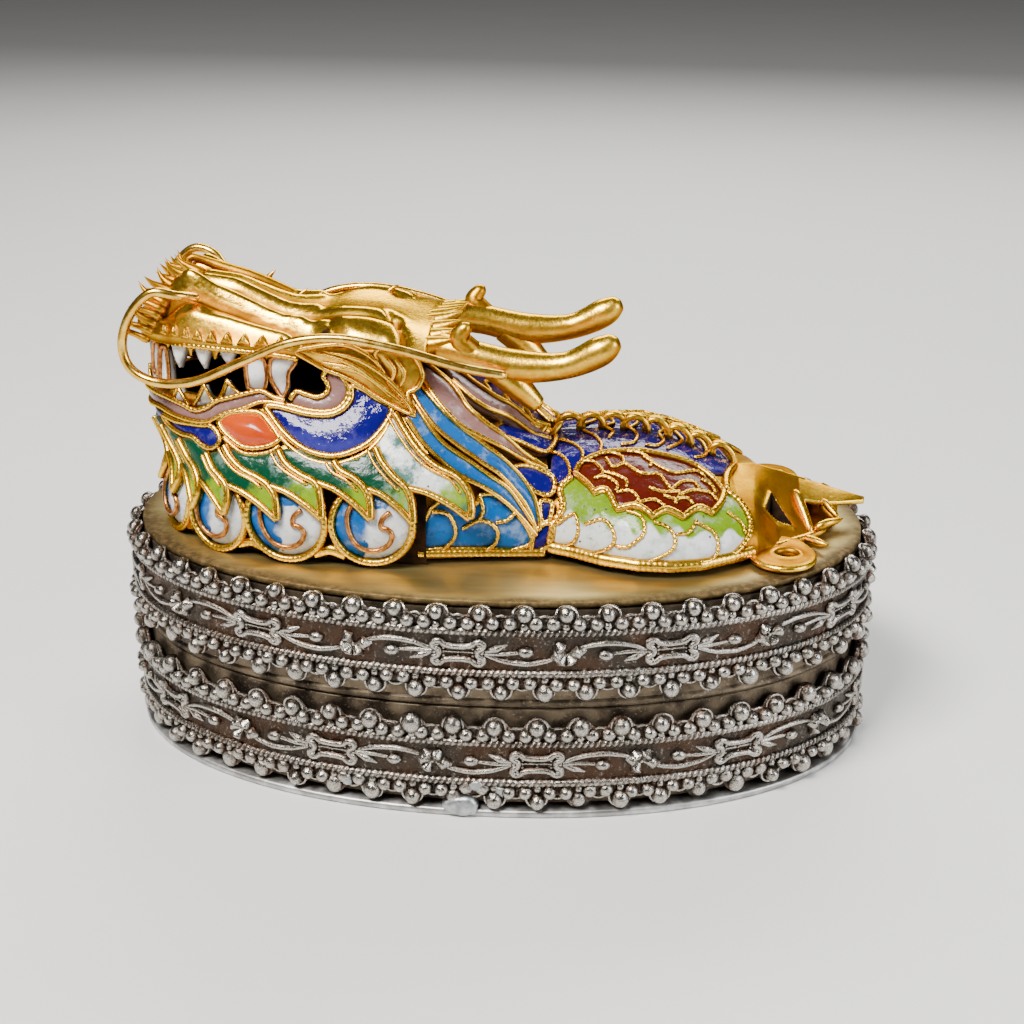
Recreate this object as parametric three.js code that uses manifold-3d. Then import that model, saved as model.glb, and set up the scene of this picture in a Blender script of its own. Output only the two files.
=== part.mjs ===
// An oval silver trinket box with stamped gallery strips round base and lid, and an enamelled
// dragon in gilt metal lying on the lid. Millimetres, +Z up, +X to the dragon's tail, the near
// side at -Y. The origin is the middle of the underside, which stands on the table.
import * as THREE from 'three';
import { mergeVertices } from 'three/addons/utils/BufferGeometryUtils.js';
import Module from 'manifold-3d';

const wasm = await Module();
wasm.setup();

// Box: sizes seen from above and the sheet it is made of
const BOX_LENGTH = 90.8;
const BOX_WIDTH = 56;
const OVAL_POWER = 2.1;
const FOOT_THICKNESS = 0.9;
const WALL_THICKNESS = 0.8;
const LID_PLATE_THICKNESS = 0.7;
const SOLDER_GAP = 0.3;
const LID_CLEARANCE = 0.3;

// Box: heights
const BASE_HEIGHT = 13.15;
const LID_HEIGHT = 12.75;
const COLLAR_HEIGHT = 2.5;

// Stamped strip: two ropes with a frieze between, scalloped rows of beads beyond them
const STRIP_THICKNESS = 0.8;
const BEAD_ROW = 3.25;
const ROPE_SPACING = 5;
const ROPE_BULGE = 0.35;
const SCALLOP_DEPTH = 0.9;
const FRIEZE_RELIEF = 0.45;
const LID_STRIP_RISE = 1.35;
const BEAD_CLUSTERS = 50;
const CLUSTERS_PER_CARTOUCHE = 5;
const BASE_FIRST_CARTOUCHE = 6.63;
const LID_FIRST_CARTOUCHE = -2.12;
const FOLD_HEIGHT = 0.55;
const FOLD_REACH = 1;

// Old solder repair: a lump on the foot's edge, left of the middle of the near side
const REPAIR_PLACE = -4.5;
const REPAIR_LENGTH = 4;
const REPAIR_BULGE = 0.5;

// Dragon: its place along the lid, and overall sizes, which its carving follows
const DRAGON_PLACE = -0.4;
const HEAD_HALF_WIDTH = 19;
const HEAD_TOP_HALF_WIDTH = 10.5;
const HEAD_FRONT = -40.8;
const HEAD_SHOULDER = -13;
const HEAD_REAR = 6.6;
const HEAD_POWER = 2.25;
const JAW_HEIGHT = 16.7;
const SKULL_HEIGHT = 21.6;
const NECK_HEIGHT = 11;
const JAW_WALL = 1.2;
const MOUTH_FLOOR = 12.5;
const CURL_PITCH = 9.9;
const CURL_RADIUS = 4.6;
const LAST_CURL = -8;
const NECK_TUCK = 1.8;
const NECK_PINCH = 2.2;
const FLAME_COUNT = 10;
const FLAME_TIP_HEIGHT = 5.1;
const FLAME_NOTCH = 3.2;
const FLAME_LEAN = 1.4;
const FLAME_ROOT_HEIGHT = 12;
const RELIEF_HEIGHT = 0.5;
const LIP_OVERHANG = 0.8;
const BODY_REAR = 31;
const BODY_RIM = 0.8;
const CREST_ARCS = 11;
const CREST_THICKNESS = 0.9;
const CREST_HEIGHT = 1.5;
const HORN_RADIUS = 1.65;
const WHISKER_RADIUS = 0.55;
const WHISKER_SPREAD = 0.7;
const LUG_RADIUS = 2.3;
const LUG_HOLE_RADIUS = 0.8;

const halfLength = BOX_LENGTH / 2;
const halfWidth = BOX_WIDTH / 2;
const lidTop = BASE_HEIGHT + SOLDER_GAP + LID_HEIGHT;
const dragonFoot = lidTop + SOLDER_GAP;
const part = new THREE.Group();
const dragon = new THREE.Group();
dragon.position.x = DRAGON_PLACE;
part.add(dragon);

function addPiece(group, name, geometry, color, roughness, metalness) {
  const material = new THREE.MeshStandardMaterial({ color, roughness, metalness });
  const mesh = new THREE.Mesh(geometry, material);
  mesh.name = name;
  group.add(mesh);
}

// Turns loose triangles into one closed solid: shared corners, no empty triangles, faces outward.
function closedSolid(points, triangles) {
  const keys = new Map();
  const corners = [];
  const shared = points.map((point) => {
    const key = point.toArray().map((value) => Math.round(value * 1000)).join(',');
    if (!keys.has(key)) {
      keys.set(key, corners.length);
      corners.push(point);
    }
    return keys.get(key);
  });
  const faces = triangles
    .map((triangle) => triangle.map((corner) => shared[corner]))
    .filter(([a, b, c]) => a !== b && b !== c && c !== a);
  const cross = new THREE.Vector3();
  const volume = faces.reduce((sum, [a, b, c]) => {
    cross.crossVectors(corners[a], corners[b]);
    return sum + cross.dot(corners[c]);
  }, 0);
  const outward = volume < 0 ? faces.map(([a, b, c]) => [a, c, b]) : faces;
  const geometry = new THREE.BufferGeometry();
  const positions = corners.flatMap((corner) => corner.toArray());
  geometry.setAttribute('position', new THREE.Float32BufferAttribute(positions, 3));
  geometry.setIndex(outward.flat());
  return geometry;
}

// Skins a row of sections, each the same number of points round. A loop joins last to first.
function skinSections(sections, { loop = false, capStart = !loop, capEnd = !loop } = {}) {
  const around = sections[0].length;
  const points = sections.flat();
  const triangles = [];
  const last = loop ? sections.length : sections.length - 1;
  for (let row = 0; row < last; row += 1) {
    const next = (row + 1) % sections.length;
    for (let step = 0; step < around; step += 1) {
      const a = row * around + step;
      const b = row * around + ((step + 1) % around);
      const c = next * around + ((step + 1) % around);
      const d = next * around + step;
      triangles.push([a, b, c], [a, c, d]);
    }
  }
  const addCap = (row, turned) => {
    const middle = new THREE.Vector3();
    sections[row].forEach((point) => middle.addScaledVector(point, 1 / around));
    points.push(middle);
    for (let step = 0; step < around; step += 1) {
      const a = row * around + step;
      const b = row * around + ((step + 1) % around);
      triangles.push(turned ? [points.length - 1, b, a] : [points.length - 1, a, b]);
    }
  };
  if (capStart) addCap(0, true);
  if (capEnd) addCap(sections.length - 1, false);
  return closedSolid(points, triangles);
}

// The same shape with only positions left, so that its faces share their corners.
function sharedCorners(geometry) {
  const bare = geometry.clone();
  bare.deleteAttribute('normal');
  bare.deleteAttribute('uv');
  return mergeVertices(bare, 1e-4);
}

function toManifold(geometry) {
  const merged = sharedCorners(geometry);
  return new wasm.Manifold(new wasm.Mesh({
    numProp: 3,
    vertProperties: new Float32Array(merged.attributes.position.array),
    triVerts: new Uint32Array(merged.index.array),
  }));
}

function fromManifold(manifold) {
  const { vertProperties, triVerts } = manifold.getMesh();
  const geometry = new THREE.BufferGeometry();
  geometry.setAttribute('position', new THREE.BufferAttribute(new Float32Array(vertProperties), 3));
  geometry.setIndex(new THREE.BufferAttribute(new Uint32Array(triVerts), 1));
  return geometry;
}

function joined(geometries) {
  const whole = geometries.map(toManifold).reduce((sum, next) => sum.add(next));
  return fromManifold(whole);
}

function mirrored(geometry) {
  const flipped = geometry.clone();
  flipped.scale(1, -1, 1);
  const index = flipped.index.array;
  for (let corner = 0; corner < index.length; corner += 3) {
    [index[corner], index[corner + 1]] = [index[corner + 1], index[corner]];
  }
  return flipped;
}

// Value at x on a chain of straight stretches through [x, value] pairs.
function along(pairs, x) {
  if (x <= pairs[0][0]) return pairs[0][1];
  for (let index = 1; index < pairs.length; index += 1) {
    const [x0, v0] = pairs[index - 1];
    const [x1, v1] = pairs[index];
    if (x <= x1) return v0 + ((v1 - v0) * (x - x0)) / (x1 - x0);
  }
  return pairs[pairs.length - 1][1];
}

function smooth(value) {
  const clipped = THREE.MathUtils.clamp(value, 0, 1);
  return clipped * clipped * (3 - 2 * clipped);
}

function circlePoints(radius, sides, x = 0, y = 0) {
  const points = [];
  for (let side = 0; side < sides; side += 1) {
    const angle = (2 * Math.PI * side) / sides;
    points.push(new THREE.Vector2(x + radius * Math.cos(angle), y + radius * Math.sin(angle)));
  }
  return points;
}

// The box's outline. It is walked from the middle of the near side towards +X.
function walkOval() {
  const steps = 1440;
  const walk = [];
  let length = 0;
  for (let step = 0; step <= steps; step += 1) {
    const angle = -Math.PI / 2 + (2 * Math.PI * step) / steps;
    const c = Math.cos(angle);
    const s = Math.sin(angle);
    const x = halfLength * Math.sign(c) * Math.abs(c) ** (2 / OVAL_POWER);
    const y = halfWidth * Math.sign(s) * Math.abs(s) ** (2 / OVAL_POWER);
    if (step > 0) length += Math.hypot(x - walk[step - 1].x, y - walk[step - 1].y);
    walk.push({ x, y, length });
  }
  return walk;
}

const ovalWalk = walkOval();
const ovalLength = ovalWalk[ovalWalk.length - 1].length;

// A point on the oval after so many millimetres, pushed outwards by offset.
function ovalPoint(distance, offset, z) {
  const wanted = ((distance % ovalLength) + ovalLength) % ovalLength;
  const after = Math.max(1, ovalWalk.findIndex((spot) => spot.length >= wanted));
  const from = ovalWalk[after - 1];
  const to = ovalWalk[after];
  const share = (wanted - from.length) / (to.length - from.length);
  const x = from.x + (to.x - from.x) * share;
  const y = from.y + (to.y - from.y) * share;
  const normal = new THREE.Vector2(
    (Math.sign(x) * Math.abs(x / halfLength) ** (OVAL_POWER - 1)) / halfLength,
    (Math.sign(y) * Math.abs(y / halfWidth) ** (OVAL_POWER - 1)) / halfWidth,
  ).normalize();
  return new THREE.Vector3(x + normal.x * offset, y + normal.y * offset, z);
}

// A ring round the box. profile gives [offset, z] pairs at a distance round the oval.
function ovalRing(stations, start, profile) {
  const sections = [];
  for (let station = 0; station < stations; station += 1) {
    const distance = start + (ovalLength * station) / stations;
    sections.push(profile(distance, station).map(([offset, z]) => ovalPoint(distance, offset, z)));
  }
  return skinSections(sections, { loop: true });
}

// A flat plate inside the oval, with its edge at an offset that may change round it.
function ovalPlate(stations, bottom, top, edge) {
  const low = [];
  const high = [];
  for (let station = 0; station < stations; station += 1) {
    const distance = (ovalLength * station) / stations;
    low.push(ovalPoint(distance, edge(distance), bottom));
    high.push(ovalPoint(distance, edge(distance), top));
  }
  return skinSections([low, high]);
}

// Offsets inwards from the outline: strip, then a solder gap, then the wall.
const ropeOffset = -0.15;
const stripFace = ropeOffset - ROPE_BULGE;
const stripBack = stripFace - STRIP_THICKNESS;
const wallFace = stripBack - SOLDER_GAP;
const wallBack = wallFace - WALL_THICKNESS;
const collarFace = wallBack - LID_CLEARANCE;
const collarBack = collarFace - WALL_THICKNESS;
const wallStations = 48;

// Foot: the flat sheet the box stands on, with the solder lump on its edge
function footEdge(distance) {
  const fromRepair = Math.abs(distance - (ovalLength + REPAIR_PLACE));
  return REPAIR_BULGE * smooth(1 - fromRepair / REPAIR_LENGTH);
}
const footStations = 96;
addPiece(part, 'foot_plate', ovalPlate(footStations, 0, FOOT_THICKNESS, footEdge), 0x9a9a98, 0.4, 1);

// Base wall: sheet bent to the oval, stepped in above the seam as the collar that holds the lid
const baseWallFoot = FOOT_THICKNESS + SOLDER_GAP;
addPiece(part, 'base_wall', ovalRing(wallStations, 0, () => [
  [wallFace, baseWallFoot],
  [wallFace, BASE_HEIGHT],
  [collarFace, BASE_HEIGHT],
  [collarFace, BASE_HEIGHT + COLLAR_HEIGHT],
  [collarBack, BASE_HEIGHT + COLLAR_HEIGHT],
  [collarBack, BASE_HEIGHT - WALL_THICKNESS],
  [wallBack, BASE_HEIGHT - WALL_THICKNESS],
  [wallBack, baseWallFoot],
]), 0x6b4a2c, 0.5, 1);

// Lid wall, standing on the seam, and the gilt plate that closes the lid
const lidFoot = BASE_HEIGHT + SOLDER_GAP;
const lidPlateFoot = lidTop - LID_PLATE_THICKNESS;
addPiece(part, 'lid_wall', ovalRing(wallStations, 0, () => [
  [wallFace, lidFoot],
  [wallFace, lidPlateFoot - SOLDER_GAP],
  [wallBack, lidPlateFoot - SOLDER_GAP],
  [wallBack, lidFoot],
]), 0x6b4a2c, 0.5, 1);
addPiece(part, 'lid_plate', ovalPlate(72, lidPlateFoot, lidTop, () => wallFace), 0x9a8546, 0.45, 1);

// The stamped strip. Each cluster of beads has a scallop; cartouches and flowers stand in turn.
const clusterPitch = ovalLength / BEAD_CLUSTERS;
const cartouchePitch = clusterPitch * CLUSTERS_PER_CARTOUCHE;

function friezeRelief(distance, firstCartouche) {
  const half = cartouchePitch / 2;
  const turns = (distance - firstCartouche) / half;
  const fromMotif = Math.abs(turns - Math.round(turns)) * half;
  return fromMotif < clusterPitch * 0.6 ? FRIEZE_RELIEF : 0.1;
}

function stripProfile(distance, station, bottom, firstCartouche, folded) {
  const scallop = station % 2 === 0 ? 0 : SCALLOP_DEPTH;
  const lowRope = bottom + BEAD_ROW;
  const highRope = lowRope + ROPE_SPACING;
  const relief = friezeRelief(distance, firstCartouche);
  const outside = [
    [stripBack, bottom + scallop],
    [stripFace, bottom + scallop],
    [ropeOffset, lowRope],
    [stripFace - 0.1, lowRope + 0.7],
    [stripFace + relief, lowRope + ROPE_SPACING / 2],
    [stripFace - 0.1, highRope - 0.7],
    [ropeOffset, highRope],
  ];
  if (!folded) {
    const top = highRope + BEAD_ROW - scallop;
    return [...outside, [stripFace, top], [stripBack, top]];
  }
  const foldUnder = lidTop + SOLDER_GAP;
  const foldTop = foldUnder + FOLD_HEIGHT;
  const reach = stripBack - FOLD_REACH + scallop;
  return [
    ...outside,
    [stripFace, lidTop - 0.3],
    [stripBack + 0.2, foldTop],
    [reach, foldTop],
    [reach, foldUnder],
    [stripBack, foldUnder],
  ];
}

function galleryStrip(bottom, firstCartouche, folded) {
  const stations = BEAD_CLUSTERS * 2;
  return ovalRing(stations, firstCartouche, (distance, station) => (
    stripProfile(distance, station, bottom, firstCartouche, folded)
  ));
}
const baseStrip = galleryStrip(FOOT_THICKNESS + SOLDER_GAP, BASE_FIRST_CARTOUCHE, false);
const lidStrip = galleryStrip(lidFoot + LID_STRIP_RISE, LID_FIRST_CARTOUCHE, true);
addPiece(part, 'base_gallery_strip', baseStrip, 0xa9a49c, 0.35, 1);
addPiece(part, 'lid_gallery_strip', lidStrip, 0xa9a49c, 0.35, 1);

// Head: the plan of its side, walked from the middle of the front to the rear of the neck
function walkHead() {
  const walk = [{ x: HEAD_FRONT, y: 0, length: 0 }];
  const reach = HEAD_SHOULDER - HEAD_FRONT;
  const steps = 160;
  const push = (x, y) => {
    const last = walk[walk.length - 1];
    walk.push({ x, y, length: last.length + Math.hypot(x - last.x, y - last.y) });
  };
  for (let step = 1; step <= steps; step += 1) {
    const angle = (Math.PI / 2) * (step / steps);
    push(
      HEAD_SHOULDER - reach * Math.cos(angle) ** (2 / HEAD_POWER),
      HEAD_HALF_WIDTH * Math.sin(angle) ** (2 / HEAD_POWER),
    );
  }
  push(HEAD_REAR, HEAD_HALF_WIDTH);
  return walk;
}

const headWalk = walkHead();
const headLength = headWalk[headWalk.length - 1].length;

// Point on the near side of the head at a distance round its plan and a height above the lid.
function headPoint(distance, height, lift = 0) {
  const bare = (s, h) => {
    const wanted = THREE.MathUtils.clamp(s, 0, headLength);
    const after = Math.max(1, headWalk.findIndex((spot) => spot.length >= wanted - 1e-9));
    const from = headWalk[after - 1];
    const to = headWalk[after];
    const share = (wanted - from.length) / (to.length - from.length);
    const x = from.x + (to.x - from.x) * share;
    const narrow = smooth((h - 3.5) / 18);
    const side = 1 + (HEAD_TOP_HALF_WIDTH / HEAD_HALF_WIDTH - 1) * narrow;
    const y = (from.y + (to.y - from.y) * share) * side;
    const lean = -1.5 * THREE.MathUtils.clamp(h / 20, 0, 1) * smooth((HEAD_SHOULDER - x) / 20);
    return new THREE.Vector3(x + lean, -y, dragonFoot + h);
  };
  const spot = bare(distance, height);
  if (lift === 0) return spot;
  const reach = Math.max(0.3, Math.min(distance, headLength - 0.3));
  const aroundStep = bare(reach + 0.3, height).sub(bare(reach - 0.3, height));
  const upStep = bare(reach, height + 0.3).sub(bare(reach, height - 0.3));
  return spot.addScaledVector(aroundStep.cross(upStep).normalize(), lift);
}

// Distance round the plan at which the near side passes a given x.
function headDistance(x) {
  const after = headWalk.findIndex((spot) => spot.x >= x);
  const from = headWalk[after - 1];
  const to = headWalk[after];
  return from.length + ((to.length - from.length) * (x - from.x)) / (to.x - from.x);
}

// Height of the enamelled side's upper edge, and of the crown behind the mouth, along x
const cheekFront = -17.5;
function sideHeight(x) {
  return along([
    [cheekFront, JAW_HEIGHT],
    [cheekFront + 2, SKULL_HEIGHT - 1.8],
    [HEAD_SHOULDER + 3.5, SKULL_HEIGHT - 2.6],
    [HEAD_REAR, NECK_HEIGHT - 4.8],
  ], x);
}
function crownHeight(x) {
  return along([
    [cheekFront + 2, SKULL_HEIGHT - 0.6],
    [HEAD_SHOULDER + 6, SKULL_HEIGHT - 2],
    [HEAD_REAR, NECK_HEIGHT],
  ], x);
}

// Rows of the enamelled side from the lid up: the bulge of the curls, the free edge of the flame
// locks (its underside, then its outer edge), their roots and the lip.
function sideRows(distance, column, top, x) {
  const isTip = column % 2 === 1;
  const edge = isTip ? FLAME_TIP_HEIGHT : FLAME_TIP_HEIGHT + FLAME_NOTCH;
  const lean = isTip ? FLAME_LEAN : 0;
  const turn = (2 * Math.PI * distance) / CURL_PITCH;
  const curl = RELIEF_HEIGHT * (0.5 + 0.5 * Math.cos(turn));
  const ease = Math.min(1, distance / CURL_PITCH);
  const tuck = NECK_TUCK * smooth((x - LAST_CURL) / 3) + NECK_PINCH * smooth((x - LAST_CURL) / 14);
  return [
    [0, -tuck, 0],
    [Math.min(CURL_RADIUS, top * 0.35), curl * ease * (tuck > 0 ? 0 : 1) - tuck, 0],
    [Math.min(edge - 0.2, top * 0.62), -tuck * 0.7, lean],
    [Math.min(edge, top * 0.66), 2 * RELIEF_HEIGHT * ease, lean],
    [Math.min(FLAME_ROOT_HEIGHT, top * 0.84), 0, 0],
    [top, 0, 0],
  ];
}

// The shell itself: a section at each distance, up the near side, over and down the far side
function headShell() {
  const columns = 2 * FLAME_COUNT;
  const mouth = headDistance(cheekFront);
  const sections = [];
  for (let column = 0; column <= columns; column += 1) {
    const distance = headLength * (1 - column / columns);
    const { x } = headPoint(distance, JAW_HEIGHT);
    const open = distance <= mouth;
    const top = open ? JAW_HEIGHT : sideHeight(x);
    const crown = open ? MOUTH_FLOOR : crownHeight(x);
    const rise = sideRows(distance, column, top, x).map(([height, lift, lean]) => (
      headPoint(Math.min(distance + lean, headLength), height, lift)
    ));
    const edge = rise[rise.length - 1];
    const reach = Math.hypot(edge.x - HEAD_SHOULDER, edge.y);
    const inwards = (share) => new THREE.Vector3(
      edge.x < HEAD_SHOULDER ? HEAD_SHOULDER + (edge.x - HEAD_SHOULDER) * share : edge.x,
      edge.y * share,
      0,
    );
    const wall = 1 - JAW_WALL / reach;
    const inner = open
      ? [inwards(wall).setZ(edge.z), inwards(wall).setZ(dragonFoot + crown)]
      : [inwards(0.86).setZ(edge.z + (crown - top) * 0.35).setX(edge.x),
        inwards(0.55).setZ(edge.z + (crown - top) * 0.8).setX(edge.x)];
    const near = [...rise, ...inner];
    const far = near.map((point) => new THREE.Vector3(point.x, -point.y, point.z)).reverse();
    sections.push([...near, ...far]);
  }
  return skinSections(sections, { capEnd: false });
}

// A raised or sunk patch on the near side, from an outline of [distance, height] pairs.
function headPatch(outline, inner, outer) {
  const flat = outline.map(([distance, height]) => new THREE.Vector2(distance, height));
  if (THREE.ShapeUtils.isClockWise(flat)) flat.reverse();
  const faces = THREE.ShapeUtils.triangulateShape(flat, []);
  const count = flat.length;
  const points = [inner, outer].flatMap((lift) => flat.map((spot) => headPoint(spot.x, spot.y, lift)));
  const triangles = [];
  faces.forEach(([a, b, c]) => triangles.push([a, c, b], [a + count, b + count, c + count]));
  for (let step = 0; step < count; step += 1) {
    const next = (step + 1) % count;
    triangles.push([step, next, next + count], [step, next + count, step + count]);
  }
  return closedSolid(points, triangles);
}

// Tooth: a triangle, pointing up or down, that grows out of a lip
function toothOutline(x, root, tip, halfBase) {
  const middle = headDistance(x);
  return [[middle - halfBase, root], [middle + halfBase, root], [middle, tip]];
}

function sidePatches() {
  const raised = [];
  [-36, -33, -29.9].forEach((x) => {
    raised.push(headPatch(toothOutline(x, JAW_HEIGHT - 0.8, JAW_HEIGHT + 2.6, 1.2), -JAW_WALL + 0.3, -0.1));
  });
  const molar = headDistance(-26.4);
  const molarTop = SKULL_HEIGHT - 0.6;
  const low = JAW_HEIGHT - 0.8;
  raised.push(headPatch([
    [molar - 1.4, low], [molar + 1.3, low], [molar + 1, molarTop], [molar - 1, molarTop],
  ], -JAW_WALL + 0.3, -0.1));
  const fang = headDistance(-23);
  raised.push(headPatch([
    [fang - 0.7, low], [fang + 1, low], [fang + 1.7, molarTop], [fang - 1.7, molarTop],
  ], -JAW_WALL + 0.3, -0.1));
  return raised;
}

const nearPatches = sidePatches();
const headGeometry = joined([headShell(), ...nearPatches, ...nearPatches.map(mirrored)]);
addPiece(dragon, 'dragon_head_shell', headGeometry, 0x1f7a4a, 0.15, 0.2);

// Upper head: a gilt casting of snout, brows and cheek fins, resting over the jaw
const snoutUnder = 21.9;
const snoutRear = -7;
const snoutFront = -42.6;
const snoutTop = [
  [-42.6, 23.4], [-41, 26.2], [-38, 27.9], [-34, 28.7], [-30.5, 28.8], [-27, 27.3],
  [-24, 26.1], [-21, 26.3], [-17.5, 26.8], [-13.5, 26.4], [-10, 25.2], [snoutRear, 24.4],
];
function snoutHalfWidth(x) {
  const side = -headPoint(headDistance(Math.max(x + 1.5, HEAD_FRONT + 0.05)), snoutUnder).y;
  return Math.max((side + LIP_OVERHANG) * smooth((x - snoutFront + 2.2) / 4), 1.4);
}

// Height of the casting's top at x and at a share of its half width, nostrils and brows included
function snoutHeight(x, share) {
  const top = along(snoutTop, x);
  const bump = (cx, cs, rx, rs, height) => (
    height * Math.exp(-(((x - cx) / rx) ** 2) - ((Math.abs(share) - cs) / rs) ** 2)
  );
  const dome = snoutUnder + 0.9 + (top - snoutUnder - 0.9) * (1 - Math.abs(share) ** 2.6);
  return dome
    + bump(-36, 0.62, 2.6, 0.28, 2.3)
    + bump(-14.6, 0.7, 3.6, 0.26, 3.2)
    - bump(-20.5, 0.86, 1.5, 0.16, 1.2)
    - bump(-25, 0.45, 6, 0.12, 0.7);
}

function snoutCasting() {
  const shares = [-1, -0.86, -0.66, -0.45, -0.22, 0, 0.22, 0.45, 0.66, 0.86, 1];
  const places = [
    snoutFront, -41.4, -39.8, -37.9, -36, -34, -31.5, -28.8, -26, -23.5,
    -21.5, -19.5, -17.3, -15.2, -13, -10.8, snoutRear,
  ];
  const sections = places.map((x) => {
    const half = snoutHalfWidth(x);
    const top = shares.map((share) => (
      new THREE.Vector3(x, half * share, dragonFoot + snoutHeight(x, share))
    ));
    const under = [0.97, 0, -0.97].map((share) => (
      new THREE.Vector3(x, half * share, dragonFoot + snoutUnder)
    ));
    return [...top, ...under];
  });
  return skinSections(sections);
}

// Cheek fin: the casting's gilt flap that hangs down the side, behind the eye
function cheekFin() {
  const spots = [
    [-20.8, 22.3], [-16.6, 20.6], [-13, 19.6], [-10.6, 17.4], [-9.2, 15.2], [-8.1, 17.8],
    [-7.2, 21.4], [-7.6, 23.6], [-12, 23.9], [-17, 23.6],
  ];
  const outline = spots.map(([x, height]) => [headDistance(x), height]);
  return headPatch(outline, SOLDER_GAP, SOLDER_GAP + 1.2);
}

// Hair spikes that curl forward round the nose
function noseSpikes() {
  const spikes = [];
  for (let index = 0; index < 4; index += 1) {
    const cone = new THREE.ConeGeometry(0.9, 3.6, 5);
    cone.rotateZ(THREE.MathUtils.degToRad(28 + index * 24));
    const half = snoutHalfWidth(-39.6);
    cone.translate(-40.2 - index * 0.25, -half * (0.35 + index * 0.14), dragonFoot + 27.2 - index * 1.3);
    spikes.push(sharedCorners(cone));
  }
  return spikes;
}

function upperTeeth() {
  return [-37.4, -34, -30.3].map((x) => (
    headPatch(toothOutline(x, snoutUnder + 0.6, snoutUnder - 2.2, 1.4), -1.1, -0.2)
  ));
}

const nearSnoutPieces = [cheekFin(), ...noseSpikes(), ...upperTeeth()];
const snoutGeometry = joined([snoutCasting(), ...nearSnoutPieces, ...nearSnoutPieces.map(mirrored)]);
addPiece(dragon, 'dragon_upper_head', snoutGeometry, 0xd9a441, 0.28, 1);

// A bar of round sections along hand-placed [x, y, height, radius] spots.
function taperedBar(spots, sides, steps) {
  const curve = new THREE.CatmullRomCurve3(
    spots.map(([x, y, height]) => new THREE.Vector3(x, y, dragonFoot + height)),
    false,
    'centripetal',
  );
  const radii = spots.map(([, , , radius], index) => [index / (spots.length - 1), radius]);
  const frames = curve.computeFrenetFrames(steps, false);
  const sections = [];
  for (let step = 0; step <= steps; step += 1) {
    const share = step / steps;
    const middle = curve.getPoint(share);
    const radius = along(radii, share);
    const section = [];
    for (let side = 0; side < sides; side += 1) {
      const angle = (2 * Math.PI * side) / sides;
      const point = middle.clone();
      point.addScaledVector(frames.normals[step], radius * Math.cos(angle));
      point.addScaledVector(frames.binormals[step], radius * Math.sin(angle));
      section.push(point);
    }
    sections.push(section);
  }
  return skinSections(sections);
}

// Horn: a beam that sweeps back to a blunt tip, with a stub above its root and one below
function horn() {
  const root = snoutRear + SOLDER_GAP + 0.4;
  const beam = taperedBar([
    [root, -7.2, 22.3, HORN_RADIUS * 1.15],
    [-2, -7.8, 21.6, HORN_RADIUS * 1.1],
    [3, -8, 20.6, HORN_RADIUS * 1.15],
    [8.5, -8.3, 20.9, HORN_RADIUS * 0.95],
    [12.6, -8.4, 22.8, HORN_RADIUS * 1.05],
    [14.4, -8.4, 24.3, HORN_RADIUS * 0.5],
  ], 8, 12);
  const upper = taperedBar([
    [-1.5, -8, 21.8, HORN_RADIUS * 0.8],
    [-3.4, -8.4, 23.8, HORN_RADIUS * 0.75],
    [-2.2, -8.7, 25.6, HORN_RADIUS * 0.35],
  ], 6, 4);
  const lower = taperedBar([
    [0, -7.8, 20.8, HORN_RADIUS],
    [3.2, -8, 18.2, HORN_RADIUS * 0.95],
    [5.8, -8, 15.8, HORN_RADIUS * 0.55],
  ], 6, 4);
  return joined([beam, upper, lower]);
}
const hornGeometry = horn();
addPiece(dragon, 'horn_near', hornGeometry, 0xd9a441, 0.3, 1);
addPiece(dragon, 'horn_far', mirrored(hornGeometry), 0xd9a441, 0.3, 1);

// Whisker: a gilt wire that loops forward from the nostril, passes below the lip and runs back
function whisker(spots) {
  const curve = new THREE.CatmullRomCurve3(
    spots.map(([x, y, height]) => new THREE.Vector3(x, y, dragonFoot + height)),
    false,
    'centripetal',
  );
  const section = new THREE.Shape(circlePoints(WHISKER_RADIUS, 6));
  return new THREE.ExtrudeGeometry(section, { steps: 27, extrudePath: curve, bevelEnabled: false });
}
const whiskerSpots = [
  [-35.6, -8.4, 27.9], [-38.4, -9, 28.3], [-41, -9, 25.7], [-42.2, -9, 22.1], [-41.2, -9.3, 19.3],
  [-38, -10, 18.1], [-33.3, -11.4, 18.8], [-27.5, -12.6, 21.6], [-21.8, -13, 24.1],
  [-16.2, -13, 24.7], [-9.5, -12.8, 23.5], [-2.9, -11.8, 21.4], [2.2, -10.9, 20.3],
];
const nearWhisker = whisker(whiskerSpots);
addPiece(dragon, 'whisker_near', nearWhisker, 0xe0b050, 0.25, 1);
const farSpots = whiskerSpots.map(([x, y, height], index) => (
  [x, WHISKER_SPREAD - y, height + (index > 6 ? -0.8 : 0.9)]
));
addPiece(dragon, 'whisker_far', whisker(farSpots), 0xe0b050, 0.25, 1);

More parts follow.
